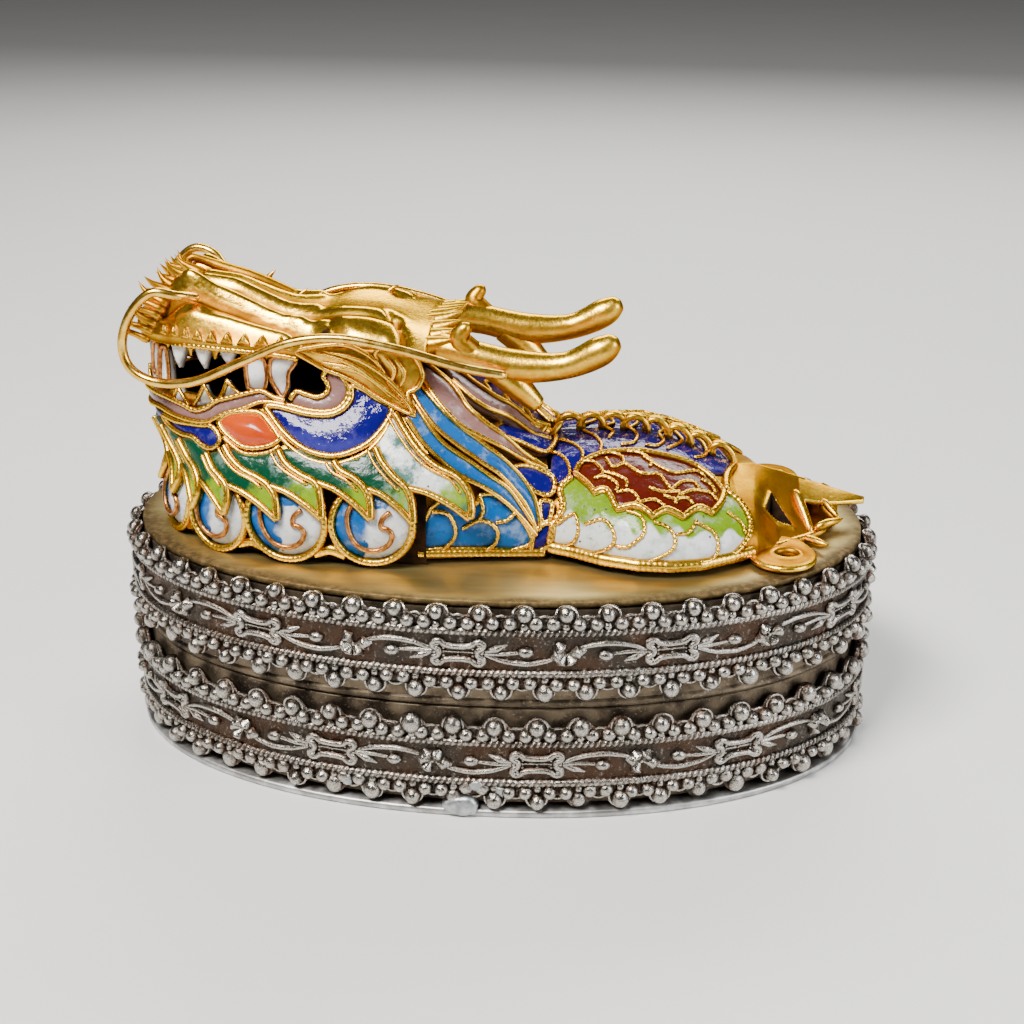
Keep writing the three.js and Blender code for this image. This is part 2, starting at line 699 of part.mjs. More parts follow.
// Body: a domed enamelled shell behind the neck, with a gilt rim standing on the lid
const bodyFront = HEAD_REAR + SOLDER_GAP + 0.2;
const bodyHalfWidths = [
  [bodyFront, 14.2], [10, 15.4], [13.5, 17.4], [17.5, 18.6], [21, 18.6], [24.5, 17.6],
  [28, 15.2], [BODY_REAR, 12.8],
];
const bodyHeights = [
  [bodyFront, 10.2], [13, 10.6], [17.5, 10.5], [22, 9.3], [28.5, 6.6], [BODY_REAR, 5.3],
];
function bodyShell() {
  const places = [bodyFront, 9, 11.5, 14, 16.5, 19, 21.5, 24, 26.5, 29, BODY_REAR];
  const sections = places.map((x) => {
    const half = along(bodyHalfWidths, x);
    const height = along(bodyHeights, x);
    const near = [
      new THREE.Vector3(x, -half - BODY_RIM, dragonFoot),
      new THREE.Vector3(x, -half - BODY_RIM, dragonFoot + BODY_RIM),
    ];
    for (let step = 0; step <= 5; step += 1) {
      const angle = ((Math.PI / 2) * step) / 6;
      near.push(new THREE.Vector3(
        x,
        -half * Math.cos(angle) ** 0.9,
        dragonFoot + BODY_RIM + (height - BODY_RIM) * Math.sin(angle) ** 0.9,
      ));
    }
    const top = new THREE.Vector3(x, 0, dragonFoot + height);
    const far = near.map((point) => new THREE.Vector3(point.x, -point.y, point.z)).reverse();
    return [...near, top, ...far];
  });
  return skinSections(sections);
}
addPiece(dragon, 'dragon_body_shell', bodyShell(), 0x8a2b1a, 0.15, 0.2);

// Crest: a row of small gilt arcs standing along the middle of the back
function backCrest() {
  const start = bodyFront + 0.3;
  const pitch = (BODY_REAR - 2.6 - start) / CREST_ARCS;
  const foot = (x) => along(bodyHeights, x) + SOLDER_GAP;
  const shape = new THREE.Shape();
  shape.moveTo(start, foot(start));
  for (let arc = 0; arc < CREST_ARCS; arc += 1) {
    for (let step = 1; step <= 4; step += 1) {
      const x = start + pitch * (arc + step / 4);
      const rise = CREST_HEIGHT * (0.35 + 0.65 * Math.sin((Math.PI * step) / 4));
      shape.lineTo(x - pitch / 8, foot(x) + rise);
    }
  }
  const end = start + pitch * CREST_ARCS;
  shape.lineTo(end, foot(end));
  bodyHeights.slice().reverse()
    .filter(([x]) => x < end && x > start)
    .forEach(([x]) => shape.lineTo(x, foot(x)));
  const plate = new THREE.ExtrudeGeometry(shape, { depth: CREST_THICKNESS, bevelEnabled: false });
  plate.rotateX(Math.PI / 2);
  plate.translate(0, CREST_THICKNESS / 2, dragonFoot);
  return plate;
}
addPiece(dragon, 'back_crest', backCrest(), 0xd9a441, 0.3, 1);

// Tail: a gilt casting that closes the body, drawn out to a point, with a pierced lug each side
const tailFront = BODY_REAR + SOLDER_GAP;
const lugX = 34.4;
const lugY = 11.5;
function tailBlade() {
  const places = [
    [tailFront, 9.4, 0, 7], [33, 8.8, 0, 6.6], [35.5, 7.4, 0, 5], [38, 6, 0, 3.4],
    [40.4, 4, 0.9, 3], [42.5, 2, 1.8, 3.1], [44.4, 0.5, 2.6, 3.3],
  ];
  const sections = places.map(([x, half, under, top]) => [
    [-1, under, 0], [-1, under + 0.9, 0], [-0.55, 0.62, 1], [0, 1, 1], [0.55, 0.62, 1],
    [1, under + 0.9, 0], [1, under, 0],
  ].map(([share, level, shared]) => new THREE.Vector3(
    x,
    half * share,
    dragonFoot + (shared ? under + 0.4 + (top - under - 0.4) * level : level),
  )));
  return skinSections(sections);
}

function tailLug() {
  const shape = new THREE.Shape(circlePoints(LUG_RADIUS, 14, lugX, -lugY));
  shape.holes.push(new THREE.Path(circlePoints(LUG_HOLE_RADIUS, 8, lugX, -lugY)));
  const disc = new THREE.ExtrudeGeometry(shape, { depth: 0.9, bevelEnabled: false });
  disc.translate(0, 0, dragonFoot);
  const neck = new THREE.BoxGeometry(4.2, lugY - 7.5 - LUG_HOLE_RADIUS, 0.9);
  neck.translate(lugX - 1, -(lugY + 5.5 - LUG_HOLE_RADIUS) / 2, dragonFoot + 0.45);
  return [disc, neck];
}
const nearLug = tailLug().map(sharedCorners);
const tailGeometry = joined([tailBlade(), ...nearLug, ...nearLug.map(mirrored)]);
addPiece(dragon, 'tail_fin', tailGeometry, 0xd9a441, 0.35, 1);

export default part;
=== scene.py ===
import math

import bmesh
import bpy
import numpy as np
from mathutils import Matrix, Vector
from mathutils.geometry import delaunay_2d_cdt


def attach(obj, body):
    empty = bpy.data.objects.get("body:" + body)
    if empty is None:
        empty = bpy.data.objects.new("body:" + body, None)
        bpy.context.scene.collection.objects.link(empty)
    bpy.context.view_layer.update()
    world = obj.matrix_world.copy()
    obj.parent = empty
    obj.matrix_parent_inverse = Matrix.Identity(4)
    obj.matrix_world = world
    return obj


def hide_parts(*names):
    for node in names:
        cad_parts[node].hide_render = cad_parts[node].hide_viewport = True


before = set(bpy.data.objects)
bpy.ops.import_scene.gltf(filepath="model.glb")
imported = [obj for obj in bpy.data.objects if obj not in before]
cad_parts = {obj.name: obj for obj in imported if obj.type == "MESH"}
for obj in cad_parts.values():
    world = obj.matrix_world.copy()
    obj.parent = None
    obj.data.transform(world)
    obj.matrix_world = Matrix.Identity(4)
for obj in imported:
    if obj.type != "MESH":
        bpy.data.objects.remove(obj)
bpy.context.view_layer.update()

# Studio: a pale floor, soft lights over a small silver box, and a camera that looks down
# at it from the near side, slightly right of the middle, as the photograph does.
MM = 0.001
camera_data = bpy.data.cameras.new("camera")
camera_data.sensor_width = 36
camera_data.lens = 57.18
camera_data.clip_start = 0.01
camera = bpy.data.objects.new("camera", camera_data)
camera_right = Vector((0.9969, 0.0782, 0.0045))
camera_up = Vector((-0.0335, 0.3729, 0.9272))
camera_back = camera_right.cross(camera_up)
turn = Matrix((camera_right, camera_up, camera_back)).transposed().to_4x4()
camera.matrix_world = Matrix.Translation(Vector((15.73, -184.76, 100.82)) * MM) @ turn
bpy.context.collection.objects.link(camera)
bpy.context.scene.camera = camera


def add_light(name, place, target, size, power, color):
    data = bpy.data.lights.new(name, "AREA")
    data.shape = "RECTANGLE"
    data.size, data.size_y = size
    data.energy = power
    data.color = color
    light = bpy.data.objects.new(name, data)
    light.location = place
    aim = Vector(target) - Vector(place)
    light.rotation_euler = aim.to_track_quat("-Z", "Y").to_euler()
    bpy.context.collection.objects.link(light)


add_light("key", (-0.16, -0.24, 0.42), (0, 0, 0.03), (0.2, 0.14), 5.6, (1.0, 0.97, 0.93))
add_light("fill", (0.42, -0.2, 0.2), (0, 0, 0.03), (0.2, 0.24), 1.8, (0.93, 0.96, 1.0))
add_light("back", (0.05, 0.42, 0.36), (0, 0, 0.04), (0.5, 0.18), 3.0, (1.0, 0.98, 0.95))
world = bpy.data.worlds.new("studio")
world.use_nodes = True
world.node_tree.nodes["Background"].inputs["Color"].default_value = (0.83, 0.82, 0.81, 1)
world.node_tree.nodes["Background"].inputs["Strength"].default_value = 0.13
bpy.context.scene.world = world


class Socket:
    """A shader value: its arithmetic adds Math nodes to the material it belongs to."""

    def __init__(self, tree, link):
        self.tree = tree
        self.link = link

    def math(self, operation, *others):
        values = dict(enumerate((self, *others)))
        return node(self.tree, "ShaderNodeMath", {"operation": operation}, values)

    def __add__(self, other):
        return self.math("ADD", other)

    def __sub__(self, other):
        return self.math("SUBTRACT", other)

    def __mul__(self, other):
        return self.math("MULTIPLY", other)

    def __truediv__(self, other):
        return self.math("DIVIDE", other)

    def __pow__(self, other):
        return self.math("POWER", other)

    def __rsub__(self, other):
        return (self * -1) + other

    __radd__ = __add__
    __rmul__ = __mul__

    def ramp(self, low, high):
        settings = {"interpolation_type": "SMOOTHSTEP"}
        values = {"Value": self, "From Min": low, "From Max": high}
        return node(self.tree, "ShaderNodeMapRange", settings, values, "Result")


def node(tree, kind, settings=None, values=None, output=0):
    """Adds a node, sets its settings, then the values or links of its sockets."""
    made = tree.nodes.new(kind)
    for key, value in (settings or {}).items():
        setattr(made, key, value)
    for key, value in (values or {}).items():
        socket = made.inputs[key]
        if isinstance(value, Socket):
            tree.links.new(value.link, socket)
        elif isinstance(value, tuple) and len(value) == 3 and socket.type == "RGBA":
            socket.default_value = (*value, 1)
        else:
            socket.default_value = value
    return Socket(tree, made.outputs[output])


class Finish:
    """A surface finish: a material with one Principled shader, and the patterns that drive it."""

    def __init__(self, name, **fixed):
        self.material = bpy.data.materials.new(name)
        self.material.use_nodes = True
        self.tree = self.material.node_tree
        self.shader = self.tree.nodes["Principled BSDF"]
        self.place = node(self.tree, "ShaderNodeTexCoord", output="Object")
        self.set(**fixed)

    def set(self, **values):
        for key, value in values.items():
            socket = self.shader.inputs[key.replace("_", " ").title().replace("Ior", "IOR")]
            if isinstance(value, Socket):
                self.tree.links.new(value.link, socket)
            elif isinstance(value, tuple):
                socket.default_value = (*value, 1)
            else:
                socket.default_value = value

    def noise(self, per_mm, detail=4, rough=0.55, stretch=None):
        where = self.place
        if stretch:
            settings = {"operation": "MULTIPLY"}
            where = node(self.tree, "ShaderNodeVectorMath", settings, {0: where, 1: stretch}, "Vector")
        values = {"Vector": where, "Scale": per_mm / MM, "Detail": detail, "Roughness": rough}
        return node(self.tree, "ShaderNodeTexNoise", {}, values, "Fac")

    def cells(self, per_mm):
        values = {"Vector": self.place, "Scale": per_mm / MM}
        return node(self.tree, "ShaderNodeTexVoronoi", {}, values, "Distance")

    def mark(self, name):
        return node(self.tree, "ShaderNodeAttribute", {"attribute_name": name}, {}, "Fac")

    def mix(self, share, first, second):
        settings = {"data_type": "RGBA"}
        return node(self.tree, "ShaderNodeMix", settings, {0: share, 6: first, 7: second}, 2)

    def bump(self, height, depth, strength=1.0):
        values = {"Height": height, "Distance": depth * MM, "Strength": strength}
        self.set(Normal=node(self.tree, "ShaderNodeBump", {}, values, "Normal"))


floor_mesh = bmesh.new()
bmesh.ops.create_grid(floor_mesh, x_segments=2, y_segments=2, size=3)
floor_data = bpy.data.meshes.new("floor")
floor_mesh.to_mesh(floor_data)
floor = bpy.data.objects.new("floor", floor_data)
bpy.context.collection.objects.link(floor)
floor_finish = Finish("pale_floor", roughness=0.55)
floor_shade = floor_finish.noise(0.02, 3)
floor_finish.set(base_color=floor_finish.mix(floor_shade, (0.70, 0.70, 0.69), (0.75, 0.75, 0.74)))
floor_data.materials.append(floor_finish.material)


# Foot plate: the flat oval sheet of silver that closes the base. Its edge shows all round,
# and near the middle an old repair has left a grey lump of soft solder on it.
HALF_LENGTH = 45.4
HALF_WIDTH = 28.0
OVAL_POWER = 2.1
FOOT_TOP = 0.9


def walk_oval():
    """Points every part of a millimetre round the box's outline, from the middle of its near side."""
    angle = np.linspace(-np.pi / 2, 1.5 * np.pi, 4001)
    cosine, sine = np.cos(angle), np.sin(angle)
    x = HALF_LENGTH * np.sign(cosine) * abs(cosine) ** (2 / OVAL_POWER)
    y = HALF_WIDTH * np.sign(sine) * abs(sine) ** (2 / OVAL_POWER)
    length = np.r_[0, np.cumsum(np.hypot(np.diff(x), np.diff(y)))]
    return x, y, length


oval_x, oval_y, oval_length = walk_oval()
OVAL = oval_length[-1]


def on_oval(distance, offset, z):
    """Points at distances round the outline, pushed out by offset, at height z (arrays, mm)."""
    wanted = np.mod(distance, OVAL)
    x = np.interp(wanted, oval_length, oval_x)
    y = np.interp(wanted, oval_length, oval_y)
    nx = np.sign(x) * abs(x / HALF_LENGTH) ** (OVAL_POWER - 1) / HALF_LENGTH
    ny = np.sign(y) * abs(y / HALF_WIDTH) ** (OVAL_POWER - 1) / HALF_WIDTH
    size = np.hypot(nx, ny)
    return np.stack(np.broadcast_arrays(x + nx / size * offset, y + ny / size * offset, z), -1)


class Shape:
    """A mesh in the making: points in mm, faces, and one or more marks for each point."""

    def __init__(self):
        self.points = []
        self.faces = []
        self.slots = []
        self.marks = {}
        self.count = 0

    def add(self, points, faces, slot=0, **marks):
        points = np.asarray(points, float).reshape(-1, 3)
        for name in set(self.marks) | set(marks):
            value = np.broadcast_to(np.asarray(marks.get(name, 0.0), float), (len(points),))
            self.marks.setdefault(name, [np.zeros(self.count)]).append(value)
        self.points.append(points)
        self.faces.extend([tuple(int(c) + self.count for c in face) for face in faces])
        self.slots.extend([slot] * len(faces))
        self.count += len(points)

    def grid(self, points, loop=False, ring=False, slot=0, **marks):
        """Adds rows of points as faces. A loop joins the last row to the first, a ring each row."""
        points = np.asarray(points, float)
        rows, across = points.shape[:2]
        faces = []
        for row in range(rows if loop else rows - 1):
            for step in range(across if ring else across - 1):
                a, b = row * across + step, row * across + (step + 1) % across
                c, d = (row + 1) % rows * across + (step + 1) % across, (row + 1) % rows * across + step
                faces.append((a, b, c, d))
        flat = {name: np.broadcast_to(value, (rows, across)).ravel() for name, value in marks.items()}
        self.add(points, faces, slot, **flat)

    def cap(self, first, count, slot=0, turned=False):
        """Closes a hole with one face over a run of points, counted from first."""
        corners = range(first, first + count)
        self.faces.append(tuple(reversed(corners) if turned else corners))
        self.slots.append(slot)

    def close(self, rows, across, slot=0, turned=True):
        """Closes both ends of the rows of rings that were just added."""
        self.cap(self.count - rows * across, across, slot)
        self.cap(self.count - across, across, slot, turned)

    def build(self, name, materials, smooth=True):
        mesh = bpy.data.meshes.new(name)
        points = np.concatenate(self.points) * MM
        mesh.from_pydata(points.tolist(), [], self.faces)
        for mark, parts in self.marks.items():
            attribute = mesh.attributes.new(mark, "FLOAT", "POINT")
            attribute.data.foreach_set("value", np.concatenate(parts))
        for material in materials:
            mesh.materials.append(material)
        mesh.polygons.foreach_set("material_index", self.slots)
        mesh.validate()
        work = bmesh.new()
        work.from_mesh(mesh)
        bmesh.ops.remove_doubles(work, verts=work.verts, dist=2e-7)
        bmesh.ops.recalc_face_normals(work, faces=work.faces)
        work.to_mesh(mesh)
        work.free()
        mesh.polygons.foreach_set("use_smooth", [smooth] * len(mesh.polygons))
        piece = bpy.data.objects.new(name, mesh)
        bpy.context.collection.objects.link(piece)
        return piece


def seat(piece, slot, *nodes):
    """Fastens a piece to the box and lets it stand for its nodes."""
    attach(piece, "root")
    if nodes:
        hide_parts(*nodes)


def plate(shape, bottom, top, edge, bevel, columns=360):
    """A flat oval sheet with a rounded edge, closed by rings that shrink to its middle line."""
    distance = np.linspace(0, OVAL, columns, endpoint=False)
    rim = [(bottom, edge - bevel), (bottom + bevel, edge), (top - bevel, edge), (top, edge - bevel)]
    rings = [on_oval(distance, offset, z) for z, offset in rim]
    under, over = rings[0], rings[-1]
    shrink = [np.array((s, s, 1.0)) for s in (0.9, 0.6, 0.3, 0.02)]
    rows = [under * s for s in shrink[::-1]] + rings + [over * s for s in shrink]
    shape.grid(np.array(rows), ring=True)
    shape.close(len(rows), columns, turned=False)


silver = Finish("antique_silver", metallic=1.0)
high = silver.mark("lift")
grime = silver.noise(0.9, 5)
fine = silver.noise(6.0, 3)
grit = silver.noise(3.2, 3)
rubbed = (high + (grime - 0.5) * 0.7 + (grit - 0.51) * (1 - high) * 2.4).ramp(0.3, 1.0)
brown = silver.mix(silver.noise(0.16, 2).ramp(0.4, 0.6), (0.075, 0.045, 0.03), (0.055, 0.045, 0.036))
pale = silver.mix(fine.ramp(0.35, 0.65), (0.235, 0.212, 0.18), (0.60, 0.565, 0.505))
silver.set(base_color=silver.mix(rubbed, brown, pale))
silver.set(roughness=0.42 - rubbed * 0.2 + (fine - 0.5) * 0.2)
silver.bump(fine * 0.5 + grime * 0.8 + grit * (1 - high) * 4, 0.08, 0.8)

foot = Shape()
plate(foot, 0, FOOT_TOP, 0.0, 0.2)
foot_silver = Finish("foot_silver", metallic=1.0)
scuff = foot_silver.noise(0.5, 6)
scratch = foot_silver.noise(2.0, 3, stretch=(0.2, 1.0, 3.0))
foot_silver.set(base_color=foot_silver.mix(scuff.ramp(0.35, 0.7), (0.33, 0.32, 0.31), (0.62, 0.62, 0.61)))
foot_silver.set(roughness=0.3 + scuff * 0.25)
foot_silver.bump(scratch, 0.03, 0.4)
seat(foot.build("foot_plate_sheet", [foot_silver.material]), "silver", "foot_plate")


def solder_lump():
    """A flat-topped blob against the strip, and smaller ones on the rope beside it."""
    shape = Shape()
    sides = 40
    around = np.linspace(0, 2 * np.pi, sides, endpoint=False)
    cosine, sine = np.cos(around), np.sin(around)
    lumps = ((-1.9, 1.35, 0.05, 4.2, 1.7, 0.62), (-0.2, 4.0, 0.0, 1.7, 0.9, 0.4),
             (2.6, 3.2, -0.1, 1.5, 0.9, 0.4), (-15.2, 3.2, 0.0, 1.3, 1.0, 0.4))
    for middle, z, out, wide, tall, thick in lumps:
        uneven = 1 + 0.06 * np.sin(3 * around + middle) + 0.03 * np.sin(7 * around)
        rows = []
        for ring, rise in ((1.0, 0.0), (0.97, 0.55), (0.82, 0.9), (0.5, 1.0), (0.05, 1.02)):
            distance = middle + ring * wide / 2 * np.sign(cosine) * abs(cosine) ** 0.9 * uneven
            height = z + ring * tall / 2 * 1.5 * np.sign(sine) * abs(sine) ** 0.95 * uneven
            rows.append(on_oval(distance, out - 0.6 + thick * 1.6 * rise, np.maximum(height, 0.02)))
        shape.grid(np.array(rows), ring=True)
        shape.cap(shape.count - sides, sides)
        shape.cap(shape.count - len(rows) * sides, sides, turned=True)
    return shape.build("solder_repair", [solder.material])


solder = Finish("soft_solder", metallic=1.0, roughness=0.42)
dull = solder.noise(1.2, 5)
solder.set(base_color=solder.mix(dull.ramp(0.3, 0.7), (0.28, 0.29, 0.30), (0.50, 0.51, 0.52)))
solder.bump(solder.noise(2.5, 4), 0.08, 0.6)
seat(solder_lump(), "silver")


# Base and lid walls: sheet bent to the oval, dark with old tarnish where the strips leave it
# bare. The base wall steps in above the seam as the collar that the lid slides over.
SEAM = 13.15
GAP = 0.3
LID_TOP = 26.2
WALL_FACE = -1.6
WALL = 0.8
COLLAR_FACE = WALL_FACE - WALL - 0.3
COLLAR_TOP = SEAM + 2.5
LID_SHEET_TOP = LID_TOP - 1.0


def oval_ring(profile):
    """A ring round the box from a closed profile of (offset, z) pairs."""
    shape = Shape()
    distance = np.linspace(0, OVAL, 360, endpoint=False)
    shape.grid(np.array([on_oval(distance, offset, z) for offset, z in profile]), loop=True, ring=True)
    return shape


wall_sheet = Finish("tarnished_sheet", metallic=0.9)
stain = wall_sheet.noise(0.35, 6)
grit = wall_sheet.noise(3.5, 4)
warm = wall_sheet.mix(stain.ramp(0.35, 0.62), (0.05, 0.036, 0.026), (0.19, 0.145, 0.095))
wall_sheet.set(base_color=wall_sheet.mix(grit.ramp(0.55, 0.75), warm, (0.30, 0.25, 0.17)))
wall_sheet.set(roughness=0.4 + stain * 0.3)
wall_sheet.bump(grit, 0.04, 0.5)
base_wall = oval_ring((
    (WALL_FACE, FOOT_TOP + GAP), (WALL_FACE, SEAM - 0.15), (WALL_FACE - 0.15, SEAM),
    (COLLAR_FACE, SEAM), (COLLAR_FACE, SEAM + 2.3), (COLLAR_FACE - 0.2, COLLAR_TOP),
    (COLLAR_FACE - WALL, COLLAR_TOP), (COLLAR_FACE - WALL, SEAM - WALL),
    (WALL_FACE - WALL, SEAM - WALL), (WALL_FACE - WALL, FOOT_TOP + GAP),
))
seat(base_wall.build("base_wall_sheet", [wall_sheet.material], smooth=False), "tarnished_sheet", "base_wall")
lid_wall = oval_ring((
    (WALL_FACE + 0.25, SEAM + GAP + 0.05), (WALL_FACE + 0.35, SEAM + GAP + 0.3),
    (WALL_FACE + 0.25, SEAM + GAP + 0.6), (WALL_FACE, SEAM + GAP + 0.9),
    (WALL_FACE, LID_SHEET_TOP), (WALL_FACE - WALL, LID_SHEET_TOP),
    (WALL_FACE - WALL, SEAM + GAP),
))
seat(lid_wall.build("lid_wall_sheet", [wall_sheet.material], smooth=False), "tarnished_sheet", "lid_wall")


# Lid plate: the gilt top of the lid, rubbed dull, turning dark brown towards the rim where the
# folded beads hold it, widest along the near side.
LID_PLATE = 0.7
lid_plate = Shape()
plate(lid_plate, LID_TOP - LID_PLATE, LID_TOP, WALL_FACE, 0.1, 240)
dull_gilt = Finish("dull_gilt_sheet", metallic=1.0)
along_x = node(dull_gilt.tree, "ShaderNodeSeparateXYZ", {}, {0: dull_gilt.place}, "X")
along_y = Socket(dull_gilt.tree, along_x.link.node.outputs["Y"])
patch = dull_gilt.noise(0.12, 5)
streak = dull_gilt.noise(0.5, 4, stretch=(0.15, 1.0, 1.0))
outwards = (along_x / (HALF_LENGTH * MM)) ** 2 + (along_y / (HALF_WIDTH * MM)) ** 2
rim_darkening = (outwards + (patch - 0.5) * 0.22 - along_y * 1.2).ramp(0.80, 0.94)
gilt_tone = dull_gilt.mix(streak.ramp(0.3, 0.7), (0.40, 0.31, 0.11), (0.54, 0.44, 0.18))
rim_brown = dull_gilt.mix(dull_gilt.noise(1.5, 4).ramp(0.4, 0.7), (0.075, 0.045, 0.02), (0.22, 0.14, 0.06))
dull_gilt.set(base_color=dull_gilt.mix(rim_darkening * 0.9, gilt_tone, rim_brown))
dull_gilt.set(roughness=0.48 + rim_darkening * 0.15 + (streak - 0.5) * 0.15)
dull_gilt.bump(streak + dull_gilt.noise(0.08, 2) * 2, 0.06, 0.22)
seat(lid_plate.build("lid_plate_sheet", [dull_gilt.material]), "gilt_plate", "lid_plate")


# Gallery strips: silver strip stamped in one die, with a twisted rope above and below a frieze
# of cartouches, buds and flowers, and scalloped rows of beads beyond. One is soldered round
# the base, upside down, and one round the lid, where its upper beads are folded over the plate.
CLUSTERS = 50
CLUSTERS_PER_CARTOUCHE = 5
PITCH = OVAL / CLUSTERS
STRIP_FACE = -0.5
ROPE_GAP = 5.0
ROPE_RADIUS = 0.55
ROPE_TURNS = 352
FOLD_START = ROPE_GAP + 1.7
FOLD_RADIUS = 1.0
FOLD_ANGLE = np.pi / 2 * 0.86
FOLD_ARC = 1.35
SCALLOP_RADIUS = 1.38
SCALLOP_ROOT = 1.95


class Strip:
    """Places flat ornament (distance round, height above the strip's lower rope) on the box."""

    def __init__(self, low_rope, first, turned, folded):
        self.low_rope = low_rope
        self.first = first
        self.turned = turned
        self.folded = folded
        self.shape = Shape()

    def spot(self, distance, height, lift):
        distance, height, lift = np.broadcast_arrays(distance, height, lift)
        if not self.folded:
            return on_oval(distance, STRIP_FACE + lift, self.low_rope + height)
        over = np.clip(height - FOLD_START, 0, None)
        past = np.clip(over - FOLD_ARC, 0, None)
        angle = np.clip(over / FOLD_RADIUS, 0, FOLD_ANGLE)
        radius = FOLD_RADIUS + lift
        out = STRIP_FACE - FOLD_RADIUS + radius * np.cos(angle) - past * 0.97
        up = np.minimum(height, FOLD_START) + radius * np.sin(angle) + past * 0.2
        return on_oval(distance, out, self.low_rope + up)

    def ball(self, distance, height, lift, wide, tall, thick, rings=7, sides=10):
        """A bead: a squashed ball that stands off the strip."""
        polar = np.linspace(0.03, np.pi / 2 + 0.35, rings)[:, None]
        around = np.linspace(0, 2 * np.pi, sides, endpoint=False)[None, :]
        d = distance + wide * np.sin(polar) * np.cos(around)
        h = height + tall * np.sin(polar) * np.sin(around)
        out = np.broadcast_to(thick * np.cos(polar), d.shape)
        self.shape.grid(self.spot(d, h, lift + out), ring=True, lift=0.2 + 0.8 * np.clip(out / thick, 0, 1))
        self.shape.close(rings, sides)

    def stem(self, spots, radius, lift=0.05, steps=5):
        """A raised line through (distance, height) spots, tapered by (start, middle, end) radii."""
        spots = np.array(spots, float)
        knots = np.linspace(0, 1, len(spots))
        share = np.linspace(0, 1, steps * (len(spots) - 1) + 1)
        smooth = [np.interp(share, knots, spots[:, axis]) for axis in (0, 1)]
        kernel = np.array((0.25, 0.5, 0.25))
        for _ in range(3):
            smooth = [np.r_[line[0], np.convolve(line, kernel, "valid"), line[-1]] for line in smooth]
        d, h = smooth
        thick = 1.15 * np.interp(share, (0, 0.5, 1), radius)
        slope = np.arctan2(np.gradient(h), np.gradient(d))
        around = np.linspace(0, np.pi, 5)
        across = thick[:, None] * np.cos(around)[None, :]
        out = thick[:, None] * 1.3 * np.sin(around)[None, :]
        dd = d[:, None] - across * np.sin(slope)[:, None]
        hh = h[:, None] + across * np.cos(slope)[:, None]
        self.shape.grid(self.spot(dd, hh, lift + out), lift=0.15 + 0.85 * np.sin(around)[None, :])

    def rope(self, height):
        """Two strands twisted together, worn almost flat in places."""
        distance = np.linspace(0, OVAL, ROPE_TURNS * 4, endpoint=False)[:, None]
        around = np.linspace(0, 2 * np.pi, 8, endpoint=False)[None, :]
        twist = around - 2 * np.pi * ROPE_TURNS * distance / OVAL / 2
        worn = 0.5 + 0.5 * np.sin(distance * 0.11 + height * 2.1) * np.sin(distance * 0.037 + 1.3)
        bulge = ROPE_RADIUS * (1 - (0.38 - 0.24 * worn) * np.sin(twist) ** 2)
        h = height + bulge * np.sin(around)
        out = bulge * np.cos(around)
        ridge = np.clip(bulge / ROPE_RADIUS * 2.2 - 1.3, 0, 1) * np.clip(0.3 + np.cos(around), 0.1, 1)
        self.shape.grid(self.spot(distance, h, out), loop=True, ring=True, lift=ridge)

    def motif(self, middle):
        """One cartouche, with three stems each way and the flower that follows it."""
        flip = -1 if self.turned else 1
        flower = CLUSTERS_PER_CARTOUCHE * PITCH / 2
        centre = ROPE_GAP / 2

        def at(d, h):
            return middle + d, centre + flip * h

        quarter = ((2.05, 0.0), (2.2, 0.4), (2.75, 0.6), (2.85, 1.05), (2.45, 1.4), (1.9, 1.3),
                   (1.5, 0.9), (0.7, 0.75))
        back = quarter[::-1]
        frame_line = [*quarter, *[(-x, y) for x, y in back], *[(-x, -y) for x, y in quarter[1:]],
                      *[(x, -y) for x, y in back]]
        self.stem([at(x, y) for x, y in frame_line], (0.3, 0.3, 0.3), 0.2)
        self.stem([at(-2.0, 0), at(2.0, 0)], (0.1, 0.1, 0.1), 0.0)
        for sx in (-1, 1):
            for sy in (-1, 1):
                self.ball(*at(2.35 * sx, 1.0 * sy), 0.2, 0.36, 0.3, 0.4, 5, 8)
            self.ball(*at(2.6 * sx, 0), 0.1, 0.3, 0.32, 0.35, 5, 8)
        for x in np.linspace(-1.6, 1.6, 7):
            for y in (-0.45, 0, 0.45):
                if (round(x * 10) + round(y * 10)) % 2 == 0:
                    self.ball(*at(x, y), 0.1, 0.17, 0.17, 0.16, 4, 6)
        for side in (-1, 1):
            self.line(at, side, ((2.9, 0.15), (4.2, 0.55), (5.4, 1.05)), (0.16, 0.4, 0.08))
            self.line(at, side, ((2.9, 0), (4.6, -0.1), (6.6, 0.1)), (0.26, 0.22, 0.16))
            self.ball(*at(7.4 * side, 0.22 * side), 0.1, 0.95, 0.62, 0.7, 6, 10)
            end = flower - 0.6
            tendril = ((2.9, -0.2), (5, -1.0), (7.6, -1.25), (end - 1.3, -0.85), (end, -0.1))
            self.line(at, side, tendril, (0.2, 0.3, 0.14))
        for angle, long in ((15, 2.3), (-62, 2.1), (-118, 2.1), (198, 1.9), (118, 2.2)):
            radian = math.radians(angle)
            tip = (flower + long * math.cos(radian), long * 0.72 * math.sin(radian))
            mid = (flower + long * 0.6 * math.cos(radian), long * 0.43 * math.sin(radian))
            self.stem([at(flower + 0.2 * math.cos(radian), 0.1 * math.sin(radian)), at(*mid), at(*tip)],
                      (0.12, 0.68, 0.14), 0.12)
        self.ball(*at(flower, 0), 0.25, 0.26, 0.26, 0.25, 4, 7)

    def line(self, at, side, spots, radius):
        """A stem of the frieze, turned half round the cartouche's middle for the other side."""
        self.stem([at(d * side, h * side) for d, h in spots], radius)

